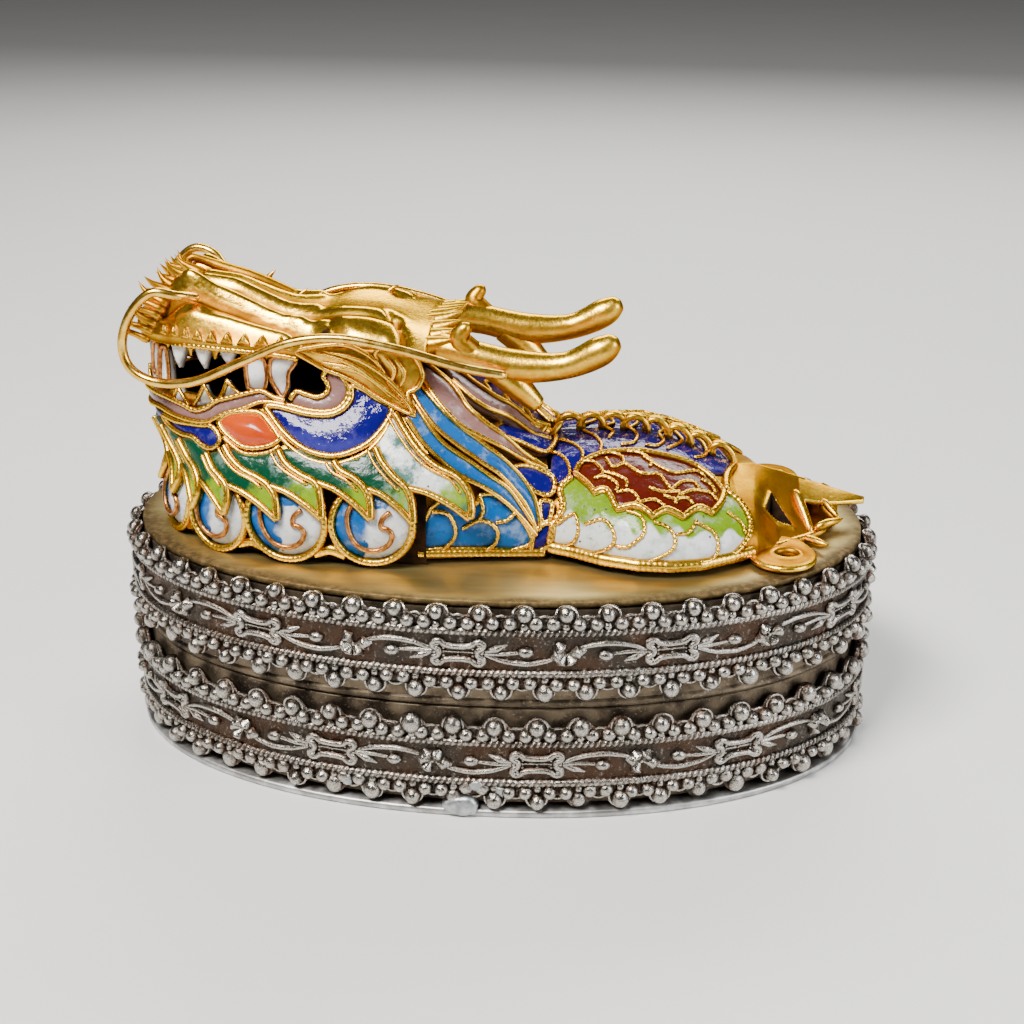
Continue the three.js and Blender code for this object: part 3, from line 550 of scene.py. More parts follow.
    def beads(self, beyond, seed):
        """A row of bead clusters: a pair of small ones by the rope, then a large one pointing out."""
        rope = ROPE_GAP if beyond > 0 else 0
        rng = np.random.default_rng(seed)
        for index in range(CLUSTERS):
            middle = self.cluster_start(beyond) + index * PITCH
            jitter = rng.normal(0, 0.09, 6)
            mashed = rng.random() < (0.45 if self.low_rope < 5 and beyond < 0 else 0.04)
            size = 0.6 if mashed else 1.0
            between = middle + PITCH / 2
            for side in (-1, 1):
                self.ball(between + side * 0.93 + jitter[0], rope + beyond * (1.05 + jitter[1]), 0.08,
                          0.86, 0.8, 0.95 * size + jitter[2])
            wide, tall, thick = (0.84, 0.82, 0.78) if self.folded and beyond > 0 else (1.02, 1.1, 1.15 * size)
            swell = 1 + jitter[5]
            place = middle + jitter[3]
            out = 2.0 if mashed else 2.15
            self.ball(place, rope + beyond * (out + jitter[4]), 0.1, wide * swell, tall * swell, thick, 8, 12)
            self.ball(place, rope + beyond * 0.72, 0.0, 0.5, 0.5, 0.5, 5, 8)
            if not mashed:
                arc = [(middle + 1.22 * np.cos(a), rope + beyond * (2.05 + 1.12 * np.sin(a)))
                       for a in np.linspace(-0.25, np.pi + 0.25, 9)]
                self.stem(arc, (0.13, 0.14, 0.13), 0.0, 2)
            arc = [(between + 0.98 * np.cos(a), rope + beyond * (1.25 + 0.75 * np.sin(a)))
                   for a in np.linspace(0.15, np.pi - 0.15, 7)]
            self.stem(arc, (0.1, 0.12, 0.1), 0.0, 2)

    def cluster_start(self, beyond):
        return self.first + (PITCH / 2 if beyond > 0 and self.folded else 0)

    def band(self):
        """The stamped sheet itself, cut to a scalloped edge above and below."""
        columns = CLUSTERS * 12
        distance = np.linspace(0, OVAL, columns, endpoint=False)
        low = self.edge(distance, -1)
        high = self.edge(distance, 1)
        levels = np.linspace(0, 1, 15)
        heights = [low + (high - low) * level for level in levels]
        rng = np.random.default_rng(7)
        rough = rng.normal(0, 0.055, (len(levels), columns))
        face = [self.spot(distance, h, rough[k]) for k, h in enumerate(heights)]
        back = [self.spot(distance, h, -0.45) for h in heights[::-1]]
        ground = np.zeros((len(face) + len(back), columns))
        ground[: len(face)] = 0.2 + rough * 2
        ground[0] = ground[len(face) - 1] = 0.45
        self.shape.grid(np.array(face + back), loop=True, ring=True, lift=np.clip(ground, 0, 1))

    def edge(self, distance, beyond):
        turn_share = (distance - self.cluster_start(beyond)) / PITCH
        away = abs(turn_share - np.round(turn_share)) * PITCH
        scallop = np.sqrt(np.clip(SCALLOP_RADIUS ** 2 - away ** 2, 0, None))
        reach = np.maximum(SCALLOP_ROOT, SCALLOP_ROOT + scallop * 0.92)
        limit = self.low_rope - FOOT_TOP - GAP if not self.folded and beyond < 0 else 9
        return (ROPE_GAP if beyond > 0 else 0) + beyond * np.minimum(reach, limit)


strips = (
    ("base_strip_ornament", "base_gallery_strip",
     Strip(low_rope=4.37, first=6.63, turned=True, folded=False)),
    ("lid_strip_ornament", "lid_gallery_strip",
     Strip(low_rope=18.07, first=-2.12, turned=False, folded=True)),
)
for name, cad_node, strip in strips:
    strip.band()
    strip.rope(0)
    strip.rope(ROPE_GAP)
    strip.beads(1, 11)
    strip.beads(-1, 12)
    for period in range(CLUSTERS // CLUSTERS_PER_CARTOUCHE):
        strip.motif(strip.first + period * CLUSTERS_PER_CARTOUCHE * PITCH)
    seat(strip.shape.build(name, [silver.material]), "silver", cad_node)


# Dragon, lower head: a hollow gilt shell whose side is cloisonne enamel. Wires soldered on edge
# hold the glass: a mauve lip, dark-blue cheeks and a set coral, then green locks that hang free
# over a row of blue and white curls. White teeth stand in the open mouth.
DRAGON_X = -0.4
DRAGON_FOOT = 26.5
HEAD_HALF = 19
HEAD_REACH = 27.8
HEAD_POWER = 2 / 2.25
SHOULDER = -13
NECK_END = 6.6
JAW_TOP = 16.3
JAW_WALL = 1.2
MOUTH_FLOOR = 12.5
MOUTH_END = 34
SHELL_END = 44.5
SHELL_ROWS = 30
DARK_ROWS = 18


def ease(t):
    t = np.clip(t, 0, 1)
    return t * t * (3 - 2 * t)


def walk_head():
    """The plan of the head's side, from the middle of its front to the rear of the neck."""
    angle = np.linspace(0, np.pi / 2, 400)
    x = np.r_[SHOULDER - HEAD_REACH * np.cos(angle) ** HEAD_POWER, NECK_END]
    y = np.r_[HEAD_HALF * np.sin(angle) ** HEAD_POWER, HEAD_HALF]
    return x, y, np.r_[0, np.cumsum(np.hypot(np.diff(x), np.diff(y)))]


head_x, head_y, head_length = walk_head()


def head_side(distance, height):
    """Points of the near side, at distances round the plan and heights above the lid."""
    x = np.interp(distance, head_length, head_x)
    y = np.interp(distance, head_length, head_y) * (1 - 0.447 * ease((height - 3.5) / 18))
    lean = -1.5 * np.clip(height / 20, 0, 1) * ease((SHOULDER - x) / 20)
    tuck = ease((-27 - x) / 12) * (0.7 + 1.9 * np.exp(-((height - 8.5) / 3.5) ** 2))
    return np.stack(np.broadcast_arrays(x + lean + tuck + DRAGON_X, -y, height + DRAGON_FOOT), -1)


def unit(vectors):
    return vectors / np.maximum(np.linalg.norm(vectors, axis=-1, keepdims=True), 1e-9)


def curve(spots, closed=False, step=0.35, scale=1.0):
    """A smooth line through spots of any size; a spot given twice stays a corner."""
    spots = np.array(spots, float)
    count = len(spots)
    made = []
    for index in range(count if closed else count - 1):
        picks = np.arange(index - 1, index + 3)
        picks = np.mod(picks, count) if closed else np.clip(picks, 0, count - 1)
        a, b, c, d = spots[picks]
        reach = np.linalg.norm(((c - b) * scale)[:3])
        if reach > 1e-6:
            t = np.linspace(0, 1, int(reach / step) + 2)[:-1, None]
            bend = (c - a) * t + (2 * a - 5 * b + 4 * c - d) * t ** 2 + (3 * b - a - 3 * c + d) * t ** 3
            made.append(b + bend / 2)
    return np.concatenate(made if closed else made + [spots[-1:]])


def is_inside(spots, edge):
    a, b = edge, np.roll(edge, -1, 0)
    x, y = spots[:, :1], spots[:, 1:]
    over = (a[:, 1] > y) != (b[:, 1] > y)
    rise = b[:, 1] - a[:, 1]
    cut = (b[:, 0] - a[:, 0]) * (y - a[:, 1]) / np.where(rise == 0, 1e-9, rise) + a[:, 0]
    return (over & (x < cut)).sum(1) % 2 == 1


def gap_to(spots, edge):
    a, run = edge, np.roll(edge, -1, 0) - edge
    share = ((spots[:, None] - a) * run).sum(-1) / ((run ** 2).sum(-1) + 1e-12)
    nearest = a + np.clip(share, 0, 1)[..., None] * run
    return np.linalg.norm(spots[:, None] - nearest, axis=-1).min(1)


def tube(shape, middle, out, radius, sides=6, closed=False, slot=0, hollow=0.0):
    """A round wire along points, its rings turned by the outward directions."""
    run = np.roll(middle, -1, 0) - np.roll(middle, 1, 0) if closed else np.gradient(middle, axis=0)
    across = unit(np.cross(run, out))
    up = unit(np.cross(across, run))
    turn = np.linspace(0, 2 * np.pi, sides, endpoint=False)[None, :, None]
    ring = np.cos(turn) * across[:, None] + np.sin(turn) * up[:, None]
    rows = middle[:, None] + np.broadcast_to(radius, (len(middle),))[:, None, None] * ring
    # Painted shade: the side of each ring that faces into the surface, or downward on a free bar, gets a
    # higher shade mark, so gilt wires and bars are painted darker beneath.
    under = np.broadcast_to(0.5 - 0.5 * np.sin(turn[..., 0]), rows.shape[:2])
    shape.grid(rows, loop=closed, ring=True, slot=slot, hollow=under * 0.75 + hollow)
    if not closed:
        shape.close(len(rows), sides, slot)


class Inlay:
    """Glass cells and wires laid on a surface, which turns flat places into points of the piece."""

    def __init__(self, surface, scale=(1, 1), shape=None):
        self.surface = surface
        self.scale = np.array(scale, float)
        self.shape = shape or Shape()
        self.side = 1

    def put(self, flat, lift):
        a, b, lift = np.broadcast_arrays(flat[..., 0], flat[..., 1], lift)
        da, db = 0.2 / self.scale
        along_a = self.surface(a + da, b) - self.surface(a - da, b)
        along_b = self.surface(a, b + db) - self.surface(a, b - db)
        points = self.surface(a, b) + unit(np.cross(along_a, along_b)) * lift[..., None]
        points[..., 1] *= self.side
        return points

    def cell(self, outline, slot, tone=0.0, lift=0.35, dome=0.15, soft=0.4, depth=0.7, grain=0.5):
        """Fills an outline with glass that swells between its wires, closed underneath."""
        edge = curve(outline, True, 0.35, self.scale)
        size = edge * self.scale
        low, high = size.min(0), size.max(0)
        rows = np.arange(low[1], high[1], grain * 0.866)
        columns = np.arange(low[0], high[0], grain)
        spots = np.array([(x + k % 2 * grain / 2, y) for k, y in enumerate(rows) for x in columns])
        spots = spots[is_inside(spots, size)]
        spots = spots[gap_to(spots, size) > grain * 0.45]
        corners = [Vector(spot) for spot in np.concatenate((size, spots))]
        mesh = delaunay_2d_cdt(corners, [], [list(range(len(size)))], 1, 1e-5)
        flat = np.array([tuple(spot) for spot in mesh[0]])
        away = gap_to(flat, size)
        places = flat / self.scale
        base = lift(edge) if callable(lift) else lift
        rise = (lift(places) if callable(lift) else lift) + dome * (1 - np.exp(-away / soft))
        shade = tone(places) if callable(tone) else tone
        # Painted shade: gilt cells get a shade mark that grows towards their wires.
        self.shape.add(self.put(places, rise), mesh[2], slot, tone=shade, rim=np.exp(-away / 0.3),
                       hollow=0.15 + 0.5 * np.exp(-away / 0.8))
        around = tone(edge) if callable(tone) else tone
        skirt = np.array([self.put(edge, base), self.put(edge, base - depth)])
        self.shape.grid(skirt, ring=True, slot=slot, tone=around, rim=1.0)
        self.shape.cap(self.shape.count - len(edge), len(edge), slot)

    def wire(self, spots, radius=0.3, lift=0.5, closed=False, bead=0.0, slot=0, taper=0.0, sides=6):
        """A wire through spots; bead notches it, taper thins it towards its ends."""
        line = curve(spots, closed, 0.19 if bead else 0.4, self.scale)
        lift = lift(line) if callable(lift) else lift
        middle = self.put(line, lift)
        out = self.put(line, lift + 0.3) - middle
        length = np.r_[0, np.cumsum(np.linalg.norm(np.diff(middle, axis=0), axis=1))]
        swell = radius * (1 - bead * np.sin(np.pi * length / 0.62) ** 2)
        if taper:
            swell = swell * (1 - taper * abs(2 * length / length[-1] - 1) ** 3)
        if not closed:
            swell[[0, -1]] *= 0.4
        tube(self.shape, middle, out, swell, sides, closed, slot)


# Gilt colour with painted shade: the shade mark darkens it to deep orange-brown in hollows, under wires and
# on undersides, and leaves lit tops bright gold; the cloud noise adds uneven tone of its own.
gilding = Finish("worn_gilding_painted_shade", metallic=1.0, specular_tint=(1.0, 0.72, 0.3))
hollow = gilding.mark("hollow")
cloud = gilding.noise(0.22, 5)
grain = gilding.noise(2.6, 4)
bright_gold = gilding.mix(grain.ramp(0.3, 0.7), (0.88, 0.45, 0.02), (1.0, 0.66, 0.075))
painted_shade_gold = gilding.mix(cloud.ramp(0.35, 0.65), (0.17, 0.06, 0.001), (0.46, 0.195, 0.004))
painted_shade_and_cloud = (hollow + (cloud - 0.5) * 1.2 + 0.2).ramp(0.2, 0.95)
gilding.set(base_color=gilding.mix(painted_shade_and_cloud, bright_gold, painted_shade_gold))
gilding.set(roughness=0.2 + hollow * 0.22 + grain * 0.12)
gilding.bump(grain + gilding.noise(0.7, 3) * 1.4, 0.05, 0.55)

copper = Finish("copper_wire", metallic=1.0, roughness=0.35)
copper_wear = copper.noise(2.0, 4)
copper.set(base_color=copper.mix(copper_wear.ramp(0.35, 0.65), (0.34, 0.11, 0.025), (0.66, 0.30, 0.08)))
copper.bump(copper_wear, 0.04, 0.5)

# Painted shade: a near-black, slightly warm material for the inside of the mouth, the eye slots, the tail's
# openings and the shell behind the glass, where only shadow shows.
painted_shade_inside = Finish("painted_shade_inside", metallic=0.1, roughness=0.85, specular_ior_level=0.1)
inside_shade_noise = painted_shade_inside.noise(0.6, 4)
inside_shade_share = inside_shade_noise.ramp(0.35, 0.7)
painted_shade_inside.set(base_color=painted_shade_inside.mix(inside_shade_share, (0.006, 0.004, 0.003), (0.035, 0.014, 0.005)))
painted_shade_inside.bump(inside_shade_noise, 0.1, 0.5)


def glass(name, low, high, pits=0.6, veil=(0.6, 0.6, 0.62), veiled=0.0, rough=0.16, veil_from=0.52):
    """Enamel that runs from one colour into another by the mark tone, pitted and clouded."""
    finish = Finish(name, coat_weight=0.06, coat_roughness=0.1, specular_ior_level=0.24)
    tone = finish.mark("tone")
    drift = finish.noise(0.5, 3)
    share = (tone + (drift - 0.5) * 0.4).ramp(0.42, 0.58)
    color = finish.mix(share, low, high)
    color = finish.mix(finish.noise(1.1, 5).ramp(0.5, 0.8) * 0.45, color, tuple(0.45 * c for c in low))
    if veiled:
        haze = finish.noise(0.42, 6, 0.65).ramp(veil_from, veil_from + 0.14)
        color = finish.mix(haze * veiled, color, veil)
    pit = 1 - finish.cells(0.9).ramp(0.09, 0.19)
    spread = finish.noise(0.35, 2).ramp(0.45, 0.62)
    color = finish.mix(pit * spread * pits, color, (0.03, 0.035, 0.035))
    color = finish.mix(finish.mark("rim").ramp(0.45, 1.0) * 0.55, color, (0.09, 0.05, 0.02))
    finish.set(base_color=color)
    finish.set(roughness=rough + finish.noise(1.6, 4) * 0.12 + pit * 0.2)
    uneven = drift * 7 + finish.noise(0.22, 2) * 9 - pit * spread * 1.2 + finish.noise(2.5, 2) * 0.4
    finish.bump(uneven, 0.06, 0.5)
    return finish


sky_glass = glass("blue_white_enamel", (0.004, 0.085, 0.30), (0.64, 0.67, 0.66), 1.0, (0.25, 0.33, 0.42), 0.5)
leaf_glass = glass("green_enamel", (0.001, 0.045, 0.02), (0.17, 0.29, 0.001), 0.3, (0.22, 0.34, 0.31), 0.42)
pale_leaf = glass("pale_green_enamel", (0.64, 0.68, 0.67), (0.17, 0.29, 0.004), 1.0, (0.03, 0.12, 0.10),
                  0.95, veil_from=0.46)
night_glass = glass("dark_blue_enamel", (0.007, 0.002, 0.115), (0.03, 0.028, 0.20), 0.15, (0.10, 0.10, 0.32),
                    0.4, 0.02)
mauve_glass = glass("mauve_enamel", (0.60, 0.58, 0.60), (0.20, 0.105, 0.095), 0.4)
tooth_glass = glass("white_enamel", (0.76, 0.77, 0.76), (0.76, 0.77, 0.76), 0.5)
coral = Finish("set_coral", roughness=0.2, coat_weight=0.15, coat_roughness=0.1, specular_ior_level=0.35)
coral_cloud = coral.noise(0.25, 4)
coral.set(base_color=coral.mix(coral_cloud.ramp(0.3, 0.7), (0.36, 0.024, 0.0003), (0.50, 0.055, 0.0006)))
coral.bump(coral.noise(1.5, 3), 0.02, 0.3)
GOLD, COPPER, DARK, SKY, LEAF, PALE_LEAF, NIGHT, MAUVE, WHITE, CORAL = range(10)
dragon_finishes = [finish.material for finish in (
    gilding, copper, painted_shade_inside, sky_glass, leaf_glass, pale_leaf, night_glass, mauve_glass,
    tooth_glass, coral,
)]


def head_backing(shape, side):
    """The gilt shell behind the glass, with the inside of the open jaw and its floor. The inside, the floor
    and the recessed shell under the glass take the dark material as painted shade, and the lower gilt rows
    are painted darker as shade.
    """
    distance = np.linspace(0, SHELL_END, 180)[None, :]
    x = np.interp(distance, head_length, head_x)
    is_open = distance < MOUTH_END
    closed_top = np.interp(x, (-17.5, -15.5, -9.5, NECK_END), (16.7, 19.8, 19.0, 6.2))
    top = np.where(is_open, JAW_TOP, closed_top)
    level = np.linspace(0, 1, SHELL_ROWS)[:, None]
    height = level * top
    recess = -1.5 + 1.4 * ease((height - 7.0) / 3.0)
    inlay = Inlay(head_side)
    rise = inlay.put(np.stack(np.broadcast_arrays(distance, height), -1), recess)
    edge = rise[-1]
    reach = np.maximum(np.hypot(edge[:, 0] - SHOULDER, edge[:, 1]), 1)
    ahead = edge[:, 0] < SHOULDER
    crown = np.interp(x[0], (-15.5, -7, NECK_END), (21.0, 19.6, 11.0))
    rows = [rise]
    for inwards, drop, narrowing, climb in (
        (1, 0.0, 0.9, 0.2), (1, 0.35, 0.72, 0.5), (1, 1.0, 0.5, 0.8),
        (0.6, 1.0, 0.3, 0.95), (0.0, 1.0, 0.0, 1),
    ):
        share = np.where(is_open[0], 1 - JAW_WALL / reach if inwards == 1 else inwards, narrowing)
        z = np.where(is_open[0], JAW_TOP + (MOUTH_FLOOR - JAW_TOP) * drop, top[0] + (crown - top[0]) * climb)
        across = np.where(ahead, SHOULDER + (edge[:, 0] - SHOULDER) * share, edge[:, 0])
        rows.append(np.stack((across, edge[:, 1] * share, z + DRAGON_FOOT), -1)[None])
    points = np.concatenate(rows)
    points[..., 1] *= side
    # Painted shade: the gilt rows are painted darker towards the bottom of the shell.
    backing_painted_shade = np.zeros(points.shape[:2])
    backing_painted_shade[:SHELL_ROWS] = 1 - ease((height - 6.5) / 4) * 0.8
    bright = slice(DARK_ROWS, SHELL_ROWS + 1)
    # The recessed rows below the gilt band and the inside of the jaw take the dark material, painted shade.
    shape.grid(points[:DARK_ROWS + 1], slot=DARK)
    shape.grid(points[bright], slot=GOLD, hollow=backing_painted_shade[bright])
    shape.grid(points[SHELL_ROWS:], slot=DARK)


flame_edges = (
    ((0.0, 12.3), (0.0, 8.6)),
    ((4.2, 12.2), (4.7, 10.6), (5.4, 9.2), (6.2, 8.0), (6.5, 6.5), (6.0, 4.7)),
    ((9.2, 12.3), (9.8, 10.6), (10.6, 9.3), (11.5, 8.0), (11.9, 6.6), (11.4, 4.8)),
    ((13.3, 11.5), (14.4, 9.7), (15.9, 8.7), (16.9, 7.5), (17.1, 6.2), (16.4, 4.5)),
    ((18.9, 10.7), (19.9, 9.3), (21.2, 8.5), (22.1, 7.8), (22.2, 6.5), (21.7, 4.8)),
    ((21.7, 11.7), (22.8, 10.5), (24.3, 9.5), (26.1, 8.9), (27.3, 8.2), (28.1, 7.0), (28.2, 5.0)),
    ((28.1, 11.8), (29.1, 10.5), (30.7, 9.6), (32.4, 8.9), (33.0, 7.7), (33.2, 5.5)),
    ((34.2, 11.1), (35.0, 10.2), (36.6, 9.5), (37.9, 8.5), (38.5, 7.3), (38.6, 5.6)),
    ((38.7, 12.5), (39.5, 11.2), (41.0, 9.8), (42.5, 8.7), (43.2, 7.3), (43.4, 5.4)),
    ((40.6, 15.9), (42.0, 14.0), (43.7, 12.2), (45.6, 10.9), (48.1, 9.9), (49.4, 8.6), (49.8, 7.2),
     (49.7, 6.0)),
)
flame_roots = ((), ((6.8, 12.5),), ((11.0, 12.1),), ((16.3, 11.8), (17.9, 11.1)), ((20.6, 11.0),),
               ((23.8, 11.3), (25.7, 11.2)), ((30.1, 12.1), (32.2, 11.4)), ((36.5, 11.6),), ((39.7, 14.3),))


def flames(inlay):
    """Locks of hair: each springs under the cheek, leans back and ends in a free, raised tip."""
    for index, edge in enumerate(flame_edges[1:]):
        before = flame_edges[index]
        tip = edge[-1]
        notch_height = 8.6 if index == 0 else before[-3][1] + 0.1
        upper = [spot for spot in before if spot[1] > notch_height]
        notch = (np.interp(-notch_height, [-s[1] for s in before], [s[0] for s in before]) + 0.1,
                 notch_height)
        free = [(notch[0] + (tip[0] - notch[0]) * a, notch_height + (tip[1] - notch_height) * b)
                for a, b in ((0.33, 0.16), (0.68, 0.52))]
        outline = [upper[0], upper[0], *flame_roots[index], edge[0], edge[0], *edge[1:], tip,
                   *free[::-1], notch, notch, *upper[:0:-1]]
        start, run = np.array(upper[0]), np.array(tip) - np.array(upper[0])
        length = (run ** 2).sum()

        def tone(places, start=start, run=run, length=length):
            return ((places - start) @ run) / length * 0.9 - 0.12

        slot = PALE_LEAF if index == 8 else LEAF
        inlay.cell(outline, slot, tone, 0.75, 0.2, 0.8, 1.0)
        inlay.wire(edge, 0.48, 0.95, bead=0.05)
        inlay.wire([notch, *free, tip], 0.42, 0.85, bead=0.05)
        inlay.wire([(d - 0.85, h - 0.2) for d, h in edge[:-2]], 0.2, 0.98)


curls = ((0.0, 4.5), (9.6, 4.5), (19.2, 4.5), (28.7, 4.7), (38.6, 4.9))
hook = ((-1.7, 2.4), (-2.4, 0.9), (-2.1, -0.9), (-1.2, -2.1), (0.3, -2.5), (1.6, -1.9), (2.1, -0.8),
        (1.6, -0.2), (1.0, -0.1), (1.1, 0.7), (1.9, 1.4))


def curl(inlay, middle, high, around):
    """One curl: a domed disc, blue to the front and white behind, with a hooked wire in it."""
    def tone(places):
        x, y = (places - (middle, high)).T
        inner = np.hypot(x + 0.1, y) < 2.2
        return np.where(inner, 0.5 + 0.16 * (x + 0.3 - 0.3 * y), 0.5 + 0.6 * (x - 0.8 - 0.5 * y))

    turn = np.linspace(0, 2 * np.pi, 18, endpoint=False) if around else np.linspace(-np.pi / 2, np.pi / 2, 12)
    outline = [(middle + 4.4 * np.cos(a), high + 4.3 * np.sin(a)) for a in turn]
    if not around:
        outline = [outline[0], *outline, outline[-1]]
    inlay.cell(outline, SKY, tone, -0.5, 0.9, 1.5, 0.9)
    inlay.wire([(middle + 4.6 * np.cos(a), high + 4.45 * np.sin(a)) for a in turn], 0.46, -0.1, around, 0.1)
    if around:
        inlay.wire([(middle + 1.12 * a, high + 1.12 * b) for a, b in hook], 0.33, 0.42, slot=COPPER,
                   bead=0.08)
    else:
        inlay.wire([(0.0, 0.4), (0.0, 4.5), (0.0, 8.7)], 0.34, 0.35, bead=0.08)
        inlay.wire([(2.1 - 0.6 * a, high + 0.8 * b) for a, b in hook], 0.28, 0.35, slot=COPPER, bead=0.08)


lip_top = ((0, 15.7), (6, 15.8), (11.5, 15.6), (15.0, 15.2), (17.3, 14.8), (19.2, 15.3), (20.6, 16.1),
           (22.6, 16.7), (24.6, 17.3), (26.0, 17.6), (27.4, 17.0), (28.6, 16.8))
lip_low = ((0, 13.9), (6, 14.0), (9.7, 14.2), (12.5, 13.9), (15.3, 13.7), (17.7, 13.7), (19.4, 13.9),
           (20.6, 14.4), (21.9, 15.0), (23.6, 15.5), (25.5, 16.3), (26.7, 16.5), (28.7, 16.3))
hook_inner = ((29.1, 16.8), (29.4, 17.4), (29.9, 17.8), (30.6, 17.6), (31.8, 17.3), (32.6, 17.5),
              (33.1, 18.1), (33.0, 18.9), (32.6, 19.6), (32.9, 20.3))
hook_outer = ((34.4, 19.9), (35.1, 18.9), (35.3, 17.8), (34.9, 16.8), (34.1, 16.1), (32.8, 15.8),
              (31.0, 15.9), (29.6, 16.2))
small_panel = ((10.2, 13.3), (13.3, 13.2), (16.0, 13.3), (18.3, 13.4), (19.5, 13.5), (20.3, 13.2),
               (20.9, 12.5), (20.7, 11.8), (19.5, 11.2), (17.9, 11.4), (16.3, 12.0), (14.1, 12.0),
               (11.5, 12.4))
cheek_panel = ((26.5, 16.0), (27.8, 16.1), (29.4, 15.8), (31.2, 15.5), (33.2, 15.5), (34.7, 16.1),
               (35.6, 17.3), (35.7, 18.7), (37.2, 18.2), (38.3, 17.5), (40.2, 16.5), (39.7, 14.9),
               (38.2, 13.2), (36.4, 12.2), (34.2, 11.6), (31.9, 11.8), (30.1, 12.5), (28.4, 13.7),
               (27.2, 15.0))
coral_edge = ((20.8, 14.0), (20.8, 14.0), (22.1, 14.9), (24.1, 15.3), (25.8, 15.3), (27.0, 14.3),
              (28.2, 12.9), (28.2, 12.9), (27.1, 12.2), (25.2, 11.8), (23.8, 11.9), (22.5, 12.5),
              (21.4, 13.2))
white_plates = (
    ((24.2, 20.9), (25.9, 21.4), (26.4, 19.8), (26.3, 18.2), (25.8, 17.7), (24.6, 17.7), (24.2, 18.3)),
    ((27.2, 21.5), (29.6, 21.3), (28.8, 19.7), (28.7, 18.3), (28.2, 17.1), (27.6, 17.7), (26.9, 18.9),
     (26.7, 20.0)),
    ((8.4, 21.2), (10.0, 21.2), (9.8, 19.4), (8.8, 17.6), (7.6, 18.1)),
    ((10.6, 20.9), (11.8, 20.7), (11.8, 17.2), (10.6, 16.4), (9.6, 17.4)),
)
low_teeth = (
    ((0.4, 15.9), (1.7, 17.5), (3.0, 15.9)), ((3.4, 15.9), (4.7, 17.4), (6.0, 15.9)),
    ((12.0, 15.1), (13.8, 16.9), (15.9, 15.1)), ((16.6, 15.2), (18.5, 17.7), (20.0, 15.9)),
    ((20.6, 16.2), (21.8, 18.5), (23.5, 17.0)),
)


def jaw(inlay):
    """The lip, the hooked end of the mouth, the cheek panels, the coral and the lower teeth."""
    inlay.cell((*lip_top, lip_top[-1], lip_low[-1], *lip_low[::-1]), MAUVE, 0.65, 0.45, 0.3, 0.7)
    inlay.cell((*hook_inner, hook_inner[-1], hook_outer[0], *hook_outer), MAUVE,
               lambda p: 1.3 - (p[:, 1] - 15.8) * 0.1, 0.45, 0.3, 0.6)
    inlay.wire(lip_top, 0.34, 0.75, bead=0.2)
    inlay.wire(lip_low, 0.3, 0.7, bead=0.1)
    inlay.wire(hook_inner, 0.34, 0.75, bead=0.2)
    inlay.wire((*hook_outer, (28.7, 16.3)), 0.34, 0.75, bead=0.15)
    inlay.cell(small_panel, NIGHT, 0.2, 0.4, 0.25, 0.7)
    inlay.wire(small_panel, 0.34, 0.6, True, 0.1)
    inlay.cell(((0, 13.4), (5, 13.5), (9.2, 13.5), (9.8, 12.9), (9.2, 12.5), (5, 12.7), (0, 12.6)), NIGHT,
               0.2, 0.4)
    inlay.cell(cheek_panel, NIGHT, lambda p: 0.75 - (p[:, 1] - 11.6) * 0.13, 0.45, 0.35, 1.2)
    inlay.wire(cheek_panel, 0.42, 0.65, True, 0.12)
    inlay.wire([(d, h - 0.75) for d, h in cheek_panel[10:]], 0.3, 0.6, bead=0.12)
    inlay.cell(coral_edge, CORAL, 0, 0.5, 1.3, 1.0, 1.0, 0.4)
    inlay.wire(coral_edge, 0.36, 0.6, True, 0.1)
    inlay.wire([(d, h - 0.6) for d, h in coral_edge[6:]], 0.28, 0.6, bead=0.12)
    for outline in white_plates:
        inlay.cell(outline, WHITE, 0, 0.0, 0.25, 0.5, 0.9)
        inlay.wire(outline, 0.28, 0.2, True, 0.1, slot=COPPER)
    for left, tip, right in low_teeth:
        climb = ((left[0] + tip[0]) / 2 + 0.1, (left[1] + tip[1]) / 2)
        fall = ((tip[0] + right[0]) / 2 - 0.1, (tip[1] + right[1]) / 2)
        inlay.cell((left, left, climb, tip, tip, fall, right, right), WHITE, 0, 0.0, 0.3, 0.5, 0.9)
        inlay.wire((left, climb, tip, tip, fall, right), 0.26, 0.25, bead=0.1)


head_inlay = Inlay(head_side)
for side in (1, -1):
    head_inlay.side = side
    head_backing(head_inlay.shape, side)
    for index, (middle, high) in enumerate(curls):
        curl(head_inlay, middle, high, index > 0)
    flames(head_inlay)
    jaw(head_inlay)
    for middle in (4.9, 14.4, 24.0, 33.6):
        head_inlay.wire([(middle - 1.9, 0.9), (middle, 1.5), (middle + 1.9, 0.9)], 0.8, -1.0, bead=0.05)


def neck_side(x, tilt):
    """Points of the neck's near side: tilt is 0 degrees at the lid and 90 along the crown."""
    half = np.interp(x, (-9, 6.6, 9), (17.2, 14.4, 14.6))
    high = np.interp(x, (-9, -2, 6.6, 9), (19.6, 16.2, 10.7, 10.0))
    cosine, sine = np.cos(np.radians(tilt)), np.sin(np.radians(tilt))
    y = -half * np.sign(cosine) * abs(cosine) ** 0.75
    z = DRAGON_FOOT + high * np.sign(sine) * abs(sine) ** 0.75
    return np.stack(np.broadcast_arrays(x + DRAGON_X, y, z), -1)


